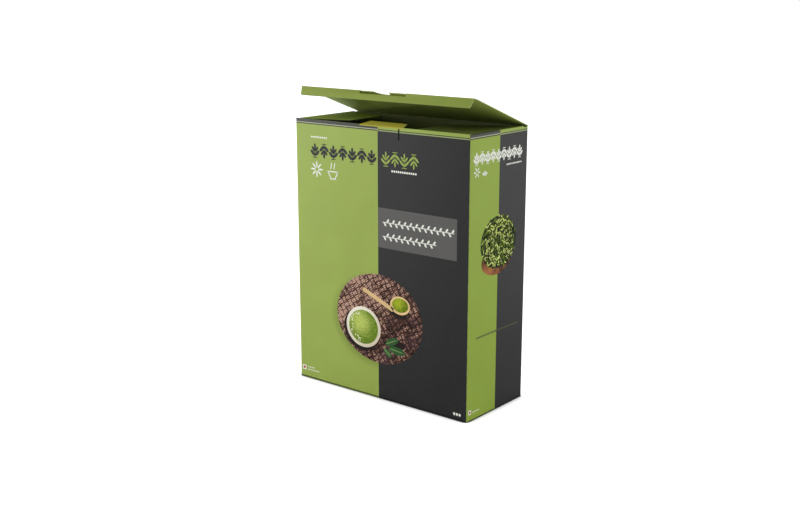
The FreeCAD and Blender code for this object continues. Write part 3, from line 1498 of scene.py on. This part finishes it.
@dataclass(frozen=True)
class Vine:
    """A trailing vine: its ends and its stem's height, a leaf's length, the pitch, and the stem's thickness."""

    left: float
    right: float
    middle: float
    leaf_length: float
    pitch: float
    weight: float


@dataclass(frozen=True)
class Star:
    """Narrow leaves round a hub: its middle, the hub's radius, a leaf's length and width, and the count."""

    across: float
    up: float
    hub: float
    length: float
    width: float
    count: int


@dataclass(frozen=True)
class Cup:
    """A line drawing of a cup: its place on the rim's line, and how far it reaches."""

    across: float
    up: float
    reach: float


class Layer(IntEnum):
    """The layers of ink on a wall's print, from the lowest up."""

    FIRST = 1
    SECOND = 2
    THIRD = 3
    FOURTH = 4
    FIFTH = 5
    SIXTH = 6


@dataclass
class Draughtsman:
    """Cuts flat ink shapes in the drawing plane, each a thin plate that stands a height above the wall's print.

    A leaf is narrowed past a share of its length either side of its middle, each time to a share of its width.
    """

    height: float
    sunk: float = 0.02
    leaf_points: int = 16
    leaf_narrowings: tuple[Spot, ...] = ((0.36, 0.62), (0.45, 0.2))
    stroke_roundness: float = 0.96
    stroke_facets: int = 3
    panel_facets: int = 4
    bead_share: float = 0.86
    vine_leaf_share: float = 0.42
    vine_leaf_angle: float = 52.0
    cup_line: float = 0.8
    steam_line: float = 0.7
    leaf_master: Piece | None = None

    def leaf(self, leaf: Leaf) -> Piece:
        """A leaf plate, copied from one master that is narrowed towards both its points.

        Args:
            leaf: Its place and size.

        Returns:
            The plate.
        """
        if self.leaf_master is None:
            outline = Oval(0.5, 0, 0.5, 0.5, self.leaf_points)
            master = add_plate("leaf_master", outline, -self.sunk, self.height)
            for past, share in self.leaf_narrowings:
                with shaping(master, "VERT"):
                    pick(master, "verts", lambda place: abs(place.x - 0.5) > past)
                    bpy.ops.transform.resize(value=(1, share, 1), center_override=(0, 0, 0))
            self.leaf_master = master
        size = Matrix.Diagonal((leaf.length, leaf.width, 1, 1))
        return copy_of(self.leaf_master, "leaf", self._move(leaf.root, math.radians(leaf.angle)) @ size)

    def stroke(self, stroke: Stroke) -> Piece:
        """A stroke plate with rounded ends.

        Args:
            stroke: Its place and width.

        Returns:
            The plate.
        """
        run = Vector(stroke.end) - Vector(stroke.start)
        half = stroke.width / 2
        plate = add_block("stroke", (-half, -half, -self.sunk), (run.length + half, half, self.height))
        round_edges(plate, runs_up, half * self.stroke_roundness, self.stroke_facets)
        plate.data.transform(self._move(stroke.start, math.atan2(run.y, run.x)))
        return plate

    def _move(self, to: Spot, turn: float = 0.0) -> Matrix:
        """The move of a shape within the drawing: turned round the origin, in radians, and taken to a spot."""
        return Matrix.Translation((to[0] * MM, to[1] * MM, 0)) @ Matrix.Rotation(turn, 4, "Z")

    def oval(self, oval: Oval) -> Piece:
        """An oval plate."""
        return add_plate("oval", oval, -self.sunk, self.height)

    def panel(self, plaque: Plaque) -> Piece:
        """An upright rectangle with rounded corners.

        Args:
            plaque: Its sides.

        Returns:
            The plate.
        """
        plate = add_block("panel", (plaque.left, plaque.foot, -self.sunk), (plaque.right, plaque.head, self.height))
        round_edges(plate, runs_up, plaque.corner, self.panel_facets)
        return plate

    def sprig(self, height: float, weight: float, at: Spot = (0.0, 0.0)) -> Piece:
        """A tea sprig: a stem on a foot, two pairs of leaves and a bud.

        Args:
            height: Its height.
            weight: How heavy its leaves are, 1 for bold.
            at: Where its foot stands.

        Returns:
            The sprig.
        """
        unit = height / 10
        parts = [
            self.stroke(Stroke((0, 0.3 * unit), (0, 6.4 * unit), 0.62 * weight * unit)),
            self.stroke(Stroke((-1.7 * unit, 0.3 * unit), (1.7 * unit, 0.3 * unit), 0.55 * unit)),
            self.leaf(Leaf((0, 5.9 * unit), 4.1 * unit, 1.9 * weight * unit, 90)),
        ]
        for side in (-1, 1):
            parts.append(self.leaf(Leaf((0, 1.4 * unit), 5.7 * unit, 2.3 * weight * unit, 90 - side * 47)))
            parts.append(self.leaf(Leaf((0, 4.2 * unit), 4.6 * unit, 1.9 * weight * unit, 90 - side * 40)))
        sprig = joined("sprig", parts)
        sprig.data.transform(self._move(at))
        return sprig

    def frieze(self, row: SprigRow) -> Piece:
        """A row of sprigs, every other one turned upside down.

        Args:
            row: The row.

        Returns:
            All of it as one piece.
        """
        master = self.sprig(row.height, row.weight)
        pitch = (row.right - row.left) / row.count
        sprigs = []
        for index in range(row.count):
            middle, turned = row.left + pitch * (index + 0.5), bool(index % 2)
            move = self._move((middle, row.foot + row.height if turned else row.foot), math.pi if turned else 0.0)
            sprigs.append(copy_of(master, "sprig", move))
        bpy.data.objects.remove(master, do_unlink=True)
        return joined("row", sprigs)

    def vine(self, vine: Vine) -> list[Piece]:
        """A trailing stem with leaves by turns above and below it.

        Args:
            vine: The vine.

        Returns:
            Its parts.
        """
        parts = [self.stroke(Stroke((vine.left, vine.middle), (vine.right, vine.middle), vine.weight))]
        width = vine.leaf_length * self.vine_leaf_share
        for index in range(int((vine.right - vine.left) / vine.pitch)):
            root = vine.left + vine.pitch * (index + 0.3)
            side = 1 if index % 2 else -1
            parts.append(self.leaf(Leaf((root, vine.middle), vine.leaf_length, width, side * self.vine_leaf_angle)))
        return parts

    def beads(self, *rows: BeadRow) -> list[Piece]:
        """The lozenges of fine rows."""
        return [self.leaf(Leaf((row.left + row.pitch * index, row.middle), row.pitch * self.bead_share, row.size, 0))
                for row in rows for index in range(max(1, int((row.right - row.left) / row.pitch)))]

    def star(self, star: Star) -> list[Piece]:
        """Narrow leaves all round a hub.

        Args:
            star: The star.

        Returns:
            Its leaves.
        """
        leaves = []
        for angle in range(0, 360, 360 // star.count):
            turn = math.radians(angle)
            root = star.across + star.hub * math.cos(turn), star.up + star.hub * math.sin(turn)
            leaves.append(self.leaf(Leaf(root, star.length, star.width, angle)))
        return leaves

    def cup(self, cup: Cup) -> list[Piece]:
        """A line drawing of a cup with steam over it.

        Args:
            cup: The cup.

        Returns:
            Its strokes.
        """
        across, up = cup.across, cup.up
        left, right, foot = across - cup.reach * 0.8, across + cup.reach * 0.8, up - cup.reach
        outline = [
            ((left, up - 0.4), (right, up - 0.4)),
            ((left + 0.3, up - 0.6), (across - 2.0, foot + 1.0)),
            ((right - 0.3, up - 0.6), (across + 2.0, foot + 1.0)),
            ((across - 2.4, foot + 0.6), (across + 2.4, foot + 0.6)),
        ]
        steam = [((across + side, up + 1.6), (across + side + 0.8, up + 5.4)) for side in (-1.9, 1.1)]
        lines = [(ends, self.cup_line) for ends in outline] + [(ends, self.steam_line) for ends in steam]
        return [self.stroke(Stroke(*ends, width)) for ends, width in lines]

    def close(self) -> None:
        """Throw the leaf master away."""
        if self.leaf_master is not None:
            bpy.data.objects.remove(self.leaf_master, do_unlink=True)
            self.leaf_master = None


@dataclass(frozen=True)
class FootMarks:
    """The small marks at a wall's foot: a square with a dot in it, and fine rows."""

    square: Plaque
    dot: Oval
    rows: tuple[BeadRow, ...]


@dataclass
class WallPrint:
    """What is printed on one wall."""

    wall: Wall
    skin: float = CartonSize.skin
    layer: float = 0.02

    def at(self, across: float, up: float) -> Point:
        """A point of the wall's drawing, in the carton's own millimetres."""
        place = self.wall.across * across + self.wall.normal * self.wall.reach
        return place.x, place.y, up

    @contextmanager
    def pen(self, layer: Layer = Layer.FIRST) -> Iterator[Draughtsman]:
        """Draw on one layer.

        Args:
            layer: Which layer.

        Yields:
            A draughtsman whose ink lies there.
        """
        pen = Draughtsman(self.layer * layer)
        try:
            yield pen
        finally:
            pen.close()

    def lay(self, name: str, parts: Sequence[Piece], finish: object) -> Piece:
        """Join ink shapes and lay them on the wall.

        Args:
            name: The piece's name, after the wall's.
            parts: The shapes, in the drawing plane.
            finish: Their ink.

        Returns:
            The piece.
        """
        piece = joined(f"{self.wall.label}_{name}", parts)
        reach = self.wall.reach + self.skin
        piece.data.transform(placing(self.wall.across, UPRIGHT, self.wall.normal, self.wall.normal * reach))
        dress(piece, (finish,))
        return hand_over(piece, "carton")

    def lay_ovals(self, name: str, ovals: Sequence[Oval], finish: object, layer: Layer = Layer.FIRST) -> Piece:
        """Lay plain ovals of one ink on one layer of the wall, as one named piece."""
        with self.pen(layer) as pen:
            return self.lay(name, [pen.oval(oval) for oval in ovals], finish)

    def lay_foot_marks(self, marks: FootMarks) -> None:
        """Lay the small marks at the wall's foot.

        Args:
            marks: The marks.
        """
        with self.pen() as pen:
            self.lay("foot_marks", [pen.panel(marks.square), *pen.beads(*marks.rows)], WHITE_INK)
        self.lay_ovals("foot_dot", [marks.dot], RED_INK, Layer.SECOND)


@dataclass
class BroadWallPrint(WallPrint):
    """Heading and foot marks that the two broad walls share."""

    dark_sprigs: SprigRow = SprigRow(-61.2, -1.0, 163.5, 10.2, 7, 1.0)
    green_sprigs: SprigRow = SprigRow(3.0, 34.4, 163.5, 10.2, 4, 0.66)
    heading_rows: tuple[BeadRow, ...] = (BeadRow(-60.5, -43.6, 178.0, 1.3, 1.7), BeadRow(11.6, 34.6, 160.9, 1.5, 1.8))
    heading_star: Star = Star(-55.4, 155.6, 0.9, 5.1, 1.25, 8)
    heading_cup: Cup = Cup(-40.4, 155.6, 6.0)
    foot: FootMarks = FootMarks(
        Plaque(-72.9, -69.3, 5.4, 9.0, 0.3), Oval(-71.1, 7.2, 1.1, 1.1, 20),
        (BeadRow(-67.6, -56.0, 6.2, 0.8, 1.1), BeadRow(-67.6, -60.0, 8.2, 0.8, 1.1),
         BeadRow(64.2, 73.0, 4.2, 2.0, 2.2)))

    def heading(self) -> None:
        """The frieze across the top, dark on green and green on dark, with fine rows by it."""
        for name, row, finish in (("frieze_dark", self.dark_sprigs, DARK_INK),
                                  ("frieze_green", self.green_sprigs, GREEN_INK)):
            with self.pen() as pen:
                self.lay(name, [pen.frieze(row)], finish)
        with self.pen() as pen:
            parts = pen.beads(*self.heading_rows) + pen.star(self.heading_star) + pen.cup(self.heading_cup)
            self.lay("white_print", parts, WHITE_INK)


@dataclass
class FrontPrint(BroadWallPrint):
    """The front wall: heading, label and the oval picture."""

    label: Plaque = Plaque(0.0, 65.7, 108.0, 135.4, 0.35)
    label_vines: tuple[Vine, ...] = (
        Vine(4.4, 63.3, 125.7, 3.3, 2.45, 0.55), Vine(4.3, 49.0, 116.0, 3.3, 2.45, 0.55))
    mat: Oval = Oval(0.2, 57.2, 38.0, 31.6, 96)
    shadows: tuple[Oval, ...] = (
        Oval(-15.0, 47.2, 16.4, 15.4, 48), Oval(17.6, 68.4, 9.4, 7.4, 40), Oval(15.6, 41.6, 8.0, 3.4, 32))
    bowl: Oval = Oval(-13.6, 49.0, 15.6, 14.6, 64)
    bowl_light: Spot = (-17.5, 54.0)
    tea: Oval = Oval(-13.6, 49.0, 13.2, 12.2, 64)
    tea_light: Spot = (-16.5, 52.0)
    bubbles: int = 34
    bubble_points: int = 12
    bubble_turns: Spot = (1.9, 4.5)
    bubble_reaches: Spot = (0.72, 0.93)
    bubble_halves: Spot = (0.25, 0.8)
    scoop: Oval = Oval(19.0, 70.0, 8.6, 6.4, 40)
    scoop_handle: Stroke = Stroke((12.0, 66.2), (-12.5, 76.0), 3.0)
    powder: Oval = Oval(19.2, 70.2, 6.9, 4.9, 36)
    powder_light: Spot = (17.5, 71.5)
    leaves: tuple[Leaf, ...] = (
        Leaf((6.0, 40.4), 13.0, 5.2, 24), Leaf((9.0, 38.2), 15.0, 5.6, -6), Leaf((4.6, 37.2), 9.0, 4.0, -38))
    rib_share: float = 0.9
    rib_width: float = 0.55

    def build(self) -> None:
        """Print the front wall."""
        self.heading()
        self._label()
        self._mat_and_bowl()
        self._scoop_and_leaves()
        self.lay_foot_marks(self.foot)

    def _label(self) -> None:
        """The grey label with two trailing vines."""
        with self.pen() as pen:
            self.lay("label", [pen.panel(self.label)], LABEL_INK)
        with self.pen(Layer.SECOND) as pen:
            self.lay("label_vines", [part for vine in self.label_vines for part in pen.vine(vine)], WHITE_INK)

    def _mat_and_bowl(self) -> None:
        """The woven mat, the shadows on it and the bowl of tea."""
        self.lay_ovals("picture_mat", [self.mat], MAT_WEAVE)
        self.lay_ovals("picture_shadows", self.shadows, MAT_SHADOW, Layer.SECOND)
        cream = PaintedShade("bowl_cream", ink(250, 246, 232), ink(212, 200, 172), self.at(*self.bowl_light),
                             reach=26.0, speckle=0.05)
        self.lay_ovals("picture_bowl", [self.bowl], cream, Layer.THIRD)
        tea = PaintedShade("bowl_tea", ink(190, 206, 104), ink(98, 126, 30), self.at(*self.tea_light),
                           reach=15.0, speckle_scale=900.0)
        self.lay_ovals("picture_tea", [self.tea], tea, Layer.FOURTH)
        self.lay_ovals("picture_froth", self._froth(), FROTH_INK, Layer.FIFTH)

    def _froth(self) -> list[Oval]:
        """Bubbles that drift towards one side of the tea.

        Returns:
            The bubbles.
        """
        rng = random.Random(5)
        bubbles = []
        for _ in range(self.bubbles):
            turn, reach, half = (
                rng.uniform(*span) for span in (self.bubble_turns, self.bubble_reaches, self.bubble_halves))
            across = self.tea.across + self.tea.half_across * reach * math.cos(turn)
            up = self.tea.up + self.tea.half_up * reach * math.sin(turn)
            bubbles.append(Oval(across, up, half, half, self.bubble_points))
        return bubbles

    def _scoop_and_leaves(self) -> None:
        """The scoop of powder and the fresh leaves with their ribs."""
        with self.pen(Layer.THIRD) as pen:
            self.lay("picture_scoop", [pen.oval(self.scoop), pen.stroke(self.scoop_handle)], SCOOP_WOOD)
        powder = PaintedShade("green_powder", ink(166, 182, 44), ink(82, 104, 10), self.at(*self.powder_light),
                              reach=9.0, speckle=0.4, speckle_scale=1500.0)
        self.lay_ovals("picture_powder", [self.powder], powder, Layer.FOURTH)
        with self.pen(Layer.THIRD) as pen:
            self.lay("picture_leaves", [pen.leaf(leaf) for leaf in self.leaves], LEAF_DEEP)
        with self.pen(Layer.FOURTH) as pen:
            ribs = [Leaf(leaf.root, leaf.length * self.rib_share, self.rib_width, leaf.angle) for leaf in self.leaves]
            self.lay("picture_leaf_ribs", [pen.leaf(rib) for rib in ribs], LEAF_PALE)


@dataclass
class BackPrint(BroadWallPrint):
    """The back wall: heading, a panel of fine rules and three round badges."""

    label: Plaque = Plaque(0.0, 65.7, 84.0, 135.4, 0.35)
    rules: int = 8
    rule_left: float = 5.0
    rule_right: float = 60.5
    short_rule_right: float = 46.0
    first_rule: float = 128.0
    rule_pitch: float = 5.4
    rule_width: float = 0.7
    badges: tuple[Oval, ...] = tuple(Oval(across, 60.0, 8.0, 8.0, 48) for across in (-58.0, -37.5, -17.0))
    badge_sprig_at: Spot = (-58.0, 55.6)
    badge_sprig_height: float = 9.0
    badge_sprig_weight: float = 0.8
    badge_cup: Cup = Cup(-37.5, 60.0, 4.6)
    badge_star: Star = Star(-17.0, 60.0, 0.9, 4.5, 1.25, 8)

    def build(self) -> None:
        """Print the back wall."""
        self.heading()
        self._panel()
        self._badges()
        self.lay_foot_marks(self.foot)

    def _panel(self) -> None:
        """A grey panel with plain rules, as such packs have on the back. Every third rule is short."""
        with self.pen() as pen:
            self.lay("label", [pen.panel(self.label)], LABEL_INK)
        with self.pen(Layer.SECOND) as pen:
            rules = []
            for row in range(self.rules):
                up = self.first_rule - self.rule_pitch * row
                right = self.rule_right if row % 3 else self.short_rule_right
                rules.append(pen.stroke(Stroke((self.rule_left, up), (right, up), self.rule_width)))
            self.lay("label_rules", rules, WHITE_INK)

    def _badges(self) -> None:
        """Three round badges with a sprig, a cup and a star of leaves."""
        self.lay_ovals("badges", self.badges, DARK_INK)
        with self.pen(Layer.SECOND) as pen:
            sprig = pen.sprig(self.badge_sprig_height, self.badge_sprig_weight, self.badge_sprig_at)
            self.lay("badge_signs", [sprig, *pen.cup(self.badge_cup), *pen.star(self.badge_star)], WHITE_INK)


@dataclass(frozen=True)
class LeafLayer:
    """One layer of the heap: its name, ink and count of leaves, and how much of its middle is clear."""

    label: str
    finish: PrintedBoard
    count: int
    clear: float = 0.0


@dataclass
class NarrowWallPrint(WallPrint):
    """A narrow wall: a small heading, the heap of leaves on its dish and a fine row."""

    sprigs: SprigRow = SprigRow(-28.9, 26.2, 169.6, 8.6, 9, 0.9)
    star: Star = Star(-25.2, 165.4, 0.6, 3.2, 0.9, 6)
    sprout: tuple[Leaf, ...] = tuple(Leaf((-16.6, 162.4), 3.4, 1.5, angle) for angle in (35, 90, 145))
    heading_row: BeadRow = BeadRow(8.0, 26.0, 166.6, 1.1, 1.5)
    fine_row: BeadRow = BeadRow(-23.4, 26.6, 55.7, 1.5, 1.7)
    foot: FootMarks = FootMarks(Plaque(-30.8, -27.8, 4.6, 7.6, 0.25), Oval(-29.3, 6.1, 0.9, 0.9, 20),
                                (BeadRow(-26.4, -18.0, 5.4, 0.7, 1.0),))
    heap: Oval = Oval(0.5, 116.5, 20.4, 17.6, 56)
    heap_light: Spot = (4.5, 122.5)
    dish: Oval = Oval(-1.7, 104.3, 17.0, 9.6, 56)
    dish_light: Spot = (-9.5, 99.5)
    leaf_reach: float = 0.95
    leaf_rim: float = 0.98
    leaf_lengths: Spot = (1.9, 3.5)
    leaf_widths: Spot = (0.6, 1.05)
    leaf_layers: tuple[LeafLayer, ...] = (
        LeafLayer("low", LEAF_SHADE, 230), LeafLayer("middle", LEAF_MIDDLE, 250),
        LeafLayer("high", LEAF_BRIGHT, 215, 0.03), LeafLayer("gaps", LEAF_GAP, 120))

    def build(self) -> None:
        """Print the wall."""
        with self.pen() as pen:
            sprout = [pen.leaf(leaf) for leaf in self.sprout]
            parts = [pen.frieze(self.sprigs), *pen.star(self.star), *sprout, *pen.beads(self.heading_row)]
            self.lay("white_print", parts, WHITE_INK)
        with self.pen() as pen:
            self.lay("fine_row", pen.beads(self.fine_row), FINE_ROW_INK)
        self.lay_foot_marks(self.foot)
        self._heap()

    def _heap(self) -> None:
        """A dish of dark wood with a heap of green leaves on it."""
        label = self.wall.label
        wood = PaintedShade(f"{label}_dish_wood", ink(172, 110, 66), ink(48, 28, 28), self.at(*self.dish_light),
                            reach=19.0, speckle=0.3, speckle_scale=300.0)
        self.lay_ovals("picture_dish", [self.dish], wood)
        green = PaintedShade(f"{label}_heap_green", ink(46, 62, 10), ink(14, 22, 0), self.at(*self.heap_light),
                             reach=24.0, speckle=0.4, speckle_scale=500.0)
        self.lay_ovals("picture_heap", [self.heap], green, Layer.SECOND)
        rng = random.Random(11)
        for level, layer in enumerate(self.leaf_layers, Layer.THIRD):
            with self.pen(Layer(level)) as pen:
                leaves = [self._heap_leaf(rng, layer) for _ in range(layer.count)]
                self.lay(f"picture_leaves_{layer.label}", [pen.leaf(leaf) for leaf in leaves], layer.finish)

    def _heap_leaf(self, rng: random.Random, layer: LeafLayer) -> Leaf:
        """One leaf of the heap.

        Args:
            rng: What draws its place, size and angle, in that order.
            layer: Its layer.

        Returns:
            The leaf.
        """
        turn, reach = rng.uniform(0, 2 * math.pi), math.sqrt(rng.uniform(layer.clear, self.leaf_rim))
        root = (self.heap.across + self.heap.half_across * self.leaf_reach * reach * math.cos(turn),
                self.heap.up + self.heap.half_up * self.leaf_reach * reach * math.sin(turn))
        return Leaf(root, rng.uniform(*self.leaf_lengths), rng.uniform(*self.leaf_widths), rng.uniform(0, 360))


# ---------------------------------------------------------------------------------------------
# Studio
# ---------------------------------------------------------------------------------------------

@dataclass(frozen=True)
class Lamp:
    """A soft square lamp: where it hangs, its side, and its power in watts."""

    name: str
    at: Point
    side: float
    power: float


@dataclass
class Studio:
    """The floor, the lamps, the surroundings and the camera."""

    camera_at: Point = (471.59, -593.12, 277.27)
    looks: Point = (-0.61135, 0.75661, -0.23193)
    lens: float = 50.0
    sensor: float = 36.0
    lamps: tuple[Lamp, ...] = (
        Lamp("key_lamp", (-892, -625, 248), 700, 5.7), Lamp("rim_lamp", (900, 560, 150), 300, 1.6))
    aim_height: float = 95.0
    floor_reach: float = 3000.0
    surroundings: float = 0.8
    floor_paint: float = 0.64
    floor_lift: float = 0.92
    # The next four set the contact shadow painted into the floor's glow and colour near the carton.
    contact_shadow_glow: float = 0.3
    contact_shadow_reach: float = 10.0
    foot_reach: float = 3.2
    foot_shadow_paint: float = 0.02
    floor_roughness: float = 0.9
    # The next three set a painted reflection: the floor's glow to glossy rays, dimmer near the carton.
    sheen_near: float = 0.1
    sheen_far: float = 1.2
    sheen_reach: float = 1100.0

    def build(self) -> None:
        """Set up the whole studio."""
        self._camera()
        self._floor()
        self._surroundings()
        for lamp in self.lamps:
            self._hang(lamp)
        bpy.context.scene.view_settings.view_transform = "Standard"

    def _camera(self) -> None:
        """The camera, at the height and angle of the view."""
        way = Vector(self.looks).normalized()
        right = way.cross(UPRIGHT).normalized()
        data = bpy.data.cameras.new("camera")
        data.lens = self.lens
        data.sensor_width = self.sensor
        data.clip_start = 0.01
        camera = bpy.data.objects.new("camera", data)
        bpy.context.collection.objects.link(camera)
        camera.matrix_world = placing(right, right.cross(way), -way, Vector(self.camera_at))
        bpy.context.scene.camera = camera

    def _floor(self) -> None:
        """A pale floor that stays white to the camera and keeps the carton's shadow, with a contact shadow painted
        into its colour and glow near the carton's foot, and a painted reflection that dims near the carton.
        """
        let_go()
        bpy.ops.mesh.primitive_plane_add(size=2 * self.floor_reach * MM)
        floor = take_new("floor")
        bench = MaterialBench("floor_paint")
        straight, glossy = bench.rays()
        # Painted contact shadow: the floor's paint goes near black where the carton's foot is close.
        foot = bench.ramp(self._openness(bench, self.foot_reach), 0.5, 0.82)
        paint = bench.mix(foot, shade(WHITE, self.foot_shadow_paint), shade(WHITE, self.floor_paint))
        bench.give(paint, self.floor_roughness, 0.0)
        # The camera's glow is cut down near the carton: a painted shadow.
        glow_with_painted_shadow = bench.math("MULTIPLY", foot, bench.ramp(
            self._openness(bench, self.contact_shadow_reach), 0.45, 1.0, self.contact_shadow_glow, self.floor_lift))
        # Painted reflection: what glossy rays see of the floor dims towards the carton.
        away = bench.add("ShaderNodeVectorMath", operation="LENGTH")
        bench.feed(away.inputs[0], bench.place)
        sheen = bench.ramp(away.outputs["Value"], 0.0, self.sheen_reach * MM, self.sheen_near, self.sheen_far)
        glow, total = bench.add("ShaderNodeEmission"), bench.add("ShaderNodeAddShader")
        bench.feed(glow.inputs["Strength"],
                   bench.math("MULTIPLY_ADD", straight, glow_with_painted_shadow, bench.math("MULTIPLY", glossy, sheen)))
        bench.feed(total.inputs[0], bench.shader.outputs[0])
        bench.feed(total.inputs[1], glow.outputs[0])
        bench.feed(bench.tree.nodes["Material Output"].inputs["Surface"], total.outputs[0])
        floor.data.materials.append(bench.material)

    def _openness(self, bench: MaterialBench, reach: float) -> Socket:
        """How open the floor is above a point, 1 where nothing stands near.

        Args:
            bench: The floor's bench.
            reach: How far round the point counts.

        Returns:
            The openness socket.
        """
        nearby = bench.add("ShaderNodeAmbientOcclusion", samples=16)
        bench.feed(nearby.inputs["Distance"], reach * MM)
        return nearby.outputs["AO"]

    def _surroundings(self) -> None:
        """Even pale light from all round, white where it is seen."""
        world = bpy.data.worlds.new("surroundings")
        bpy.context.scene.world = world
        world.use_nodes = True
        bench = NodeBench(world.node_tree)
        sky = bench.tree.nodes["Background"]
        straight, _ = bench.rays()
        bench.feed(sky.inputs["Color"], WHITE)
        bench.feed(sky.inputs["Strength"], bench.ramp(straight, 0.0, 1.0, self.surroundings, 1.0))

    def _hang(self, lamp: Lamp) -> None:
        """Hang a lamp and turn it to the carton.

        Args:
            lamp: The lamp.
        """
        data = bpy.data.lights.new(lamp.name, "AREA")
        data.size = lamp.side * MM
        data.energy = lamp.power
        hung = bpy.data.objects.new(lamp.name, data)
        bpy.context.collection.objects.link(hung)
        hung.location = Vector(lamp.at) * MM
        aim = Vector((0, 0, self.aim_height)) * MM - hung.location
        hung.rotation_euler = aim.to_track_quat("-Z", "Y").to_euler()


def main() -> None:
    """Build the studio and the carton."""
    logging.basicConfig(level=logging.INFO, format="%(name)s: %(message)s")
    Studio().build()
    CartonWalls().build()
    panels = FoldedPanels()
    panels.build()
    CreaseStrips(panels).build()
    FrontPrint(Wall.FRONT).build()
    NarrowWallPrint(Wall.RIGHT).build()
    BackPrint(Wall.BACK).build()
    NarrowWallPrint(Wall.LEFT).build()


if __name__ == "__main__":
    main()
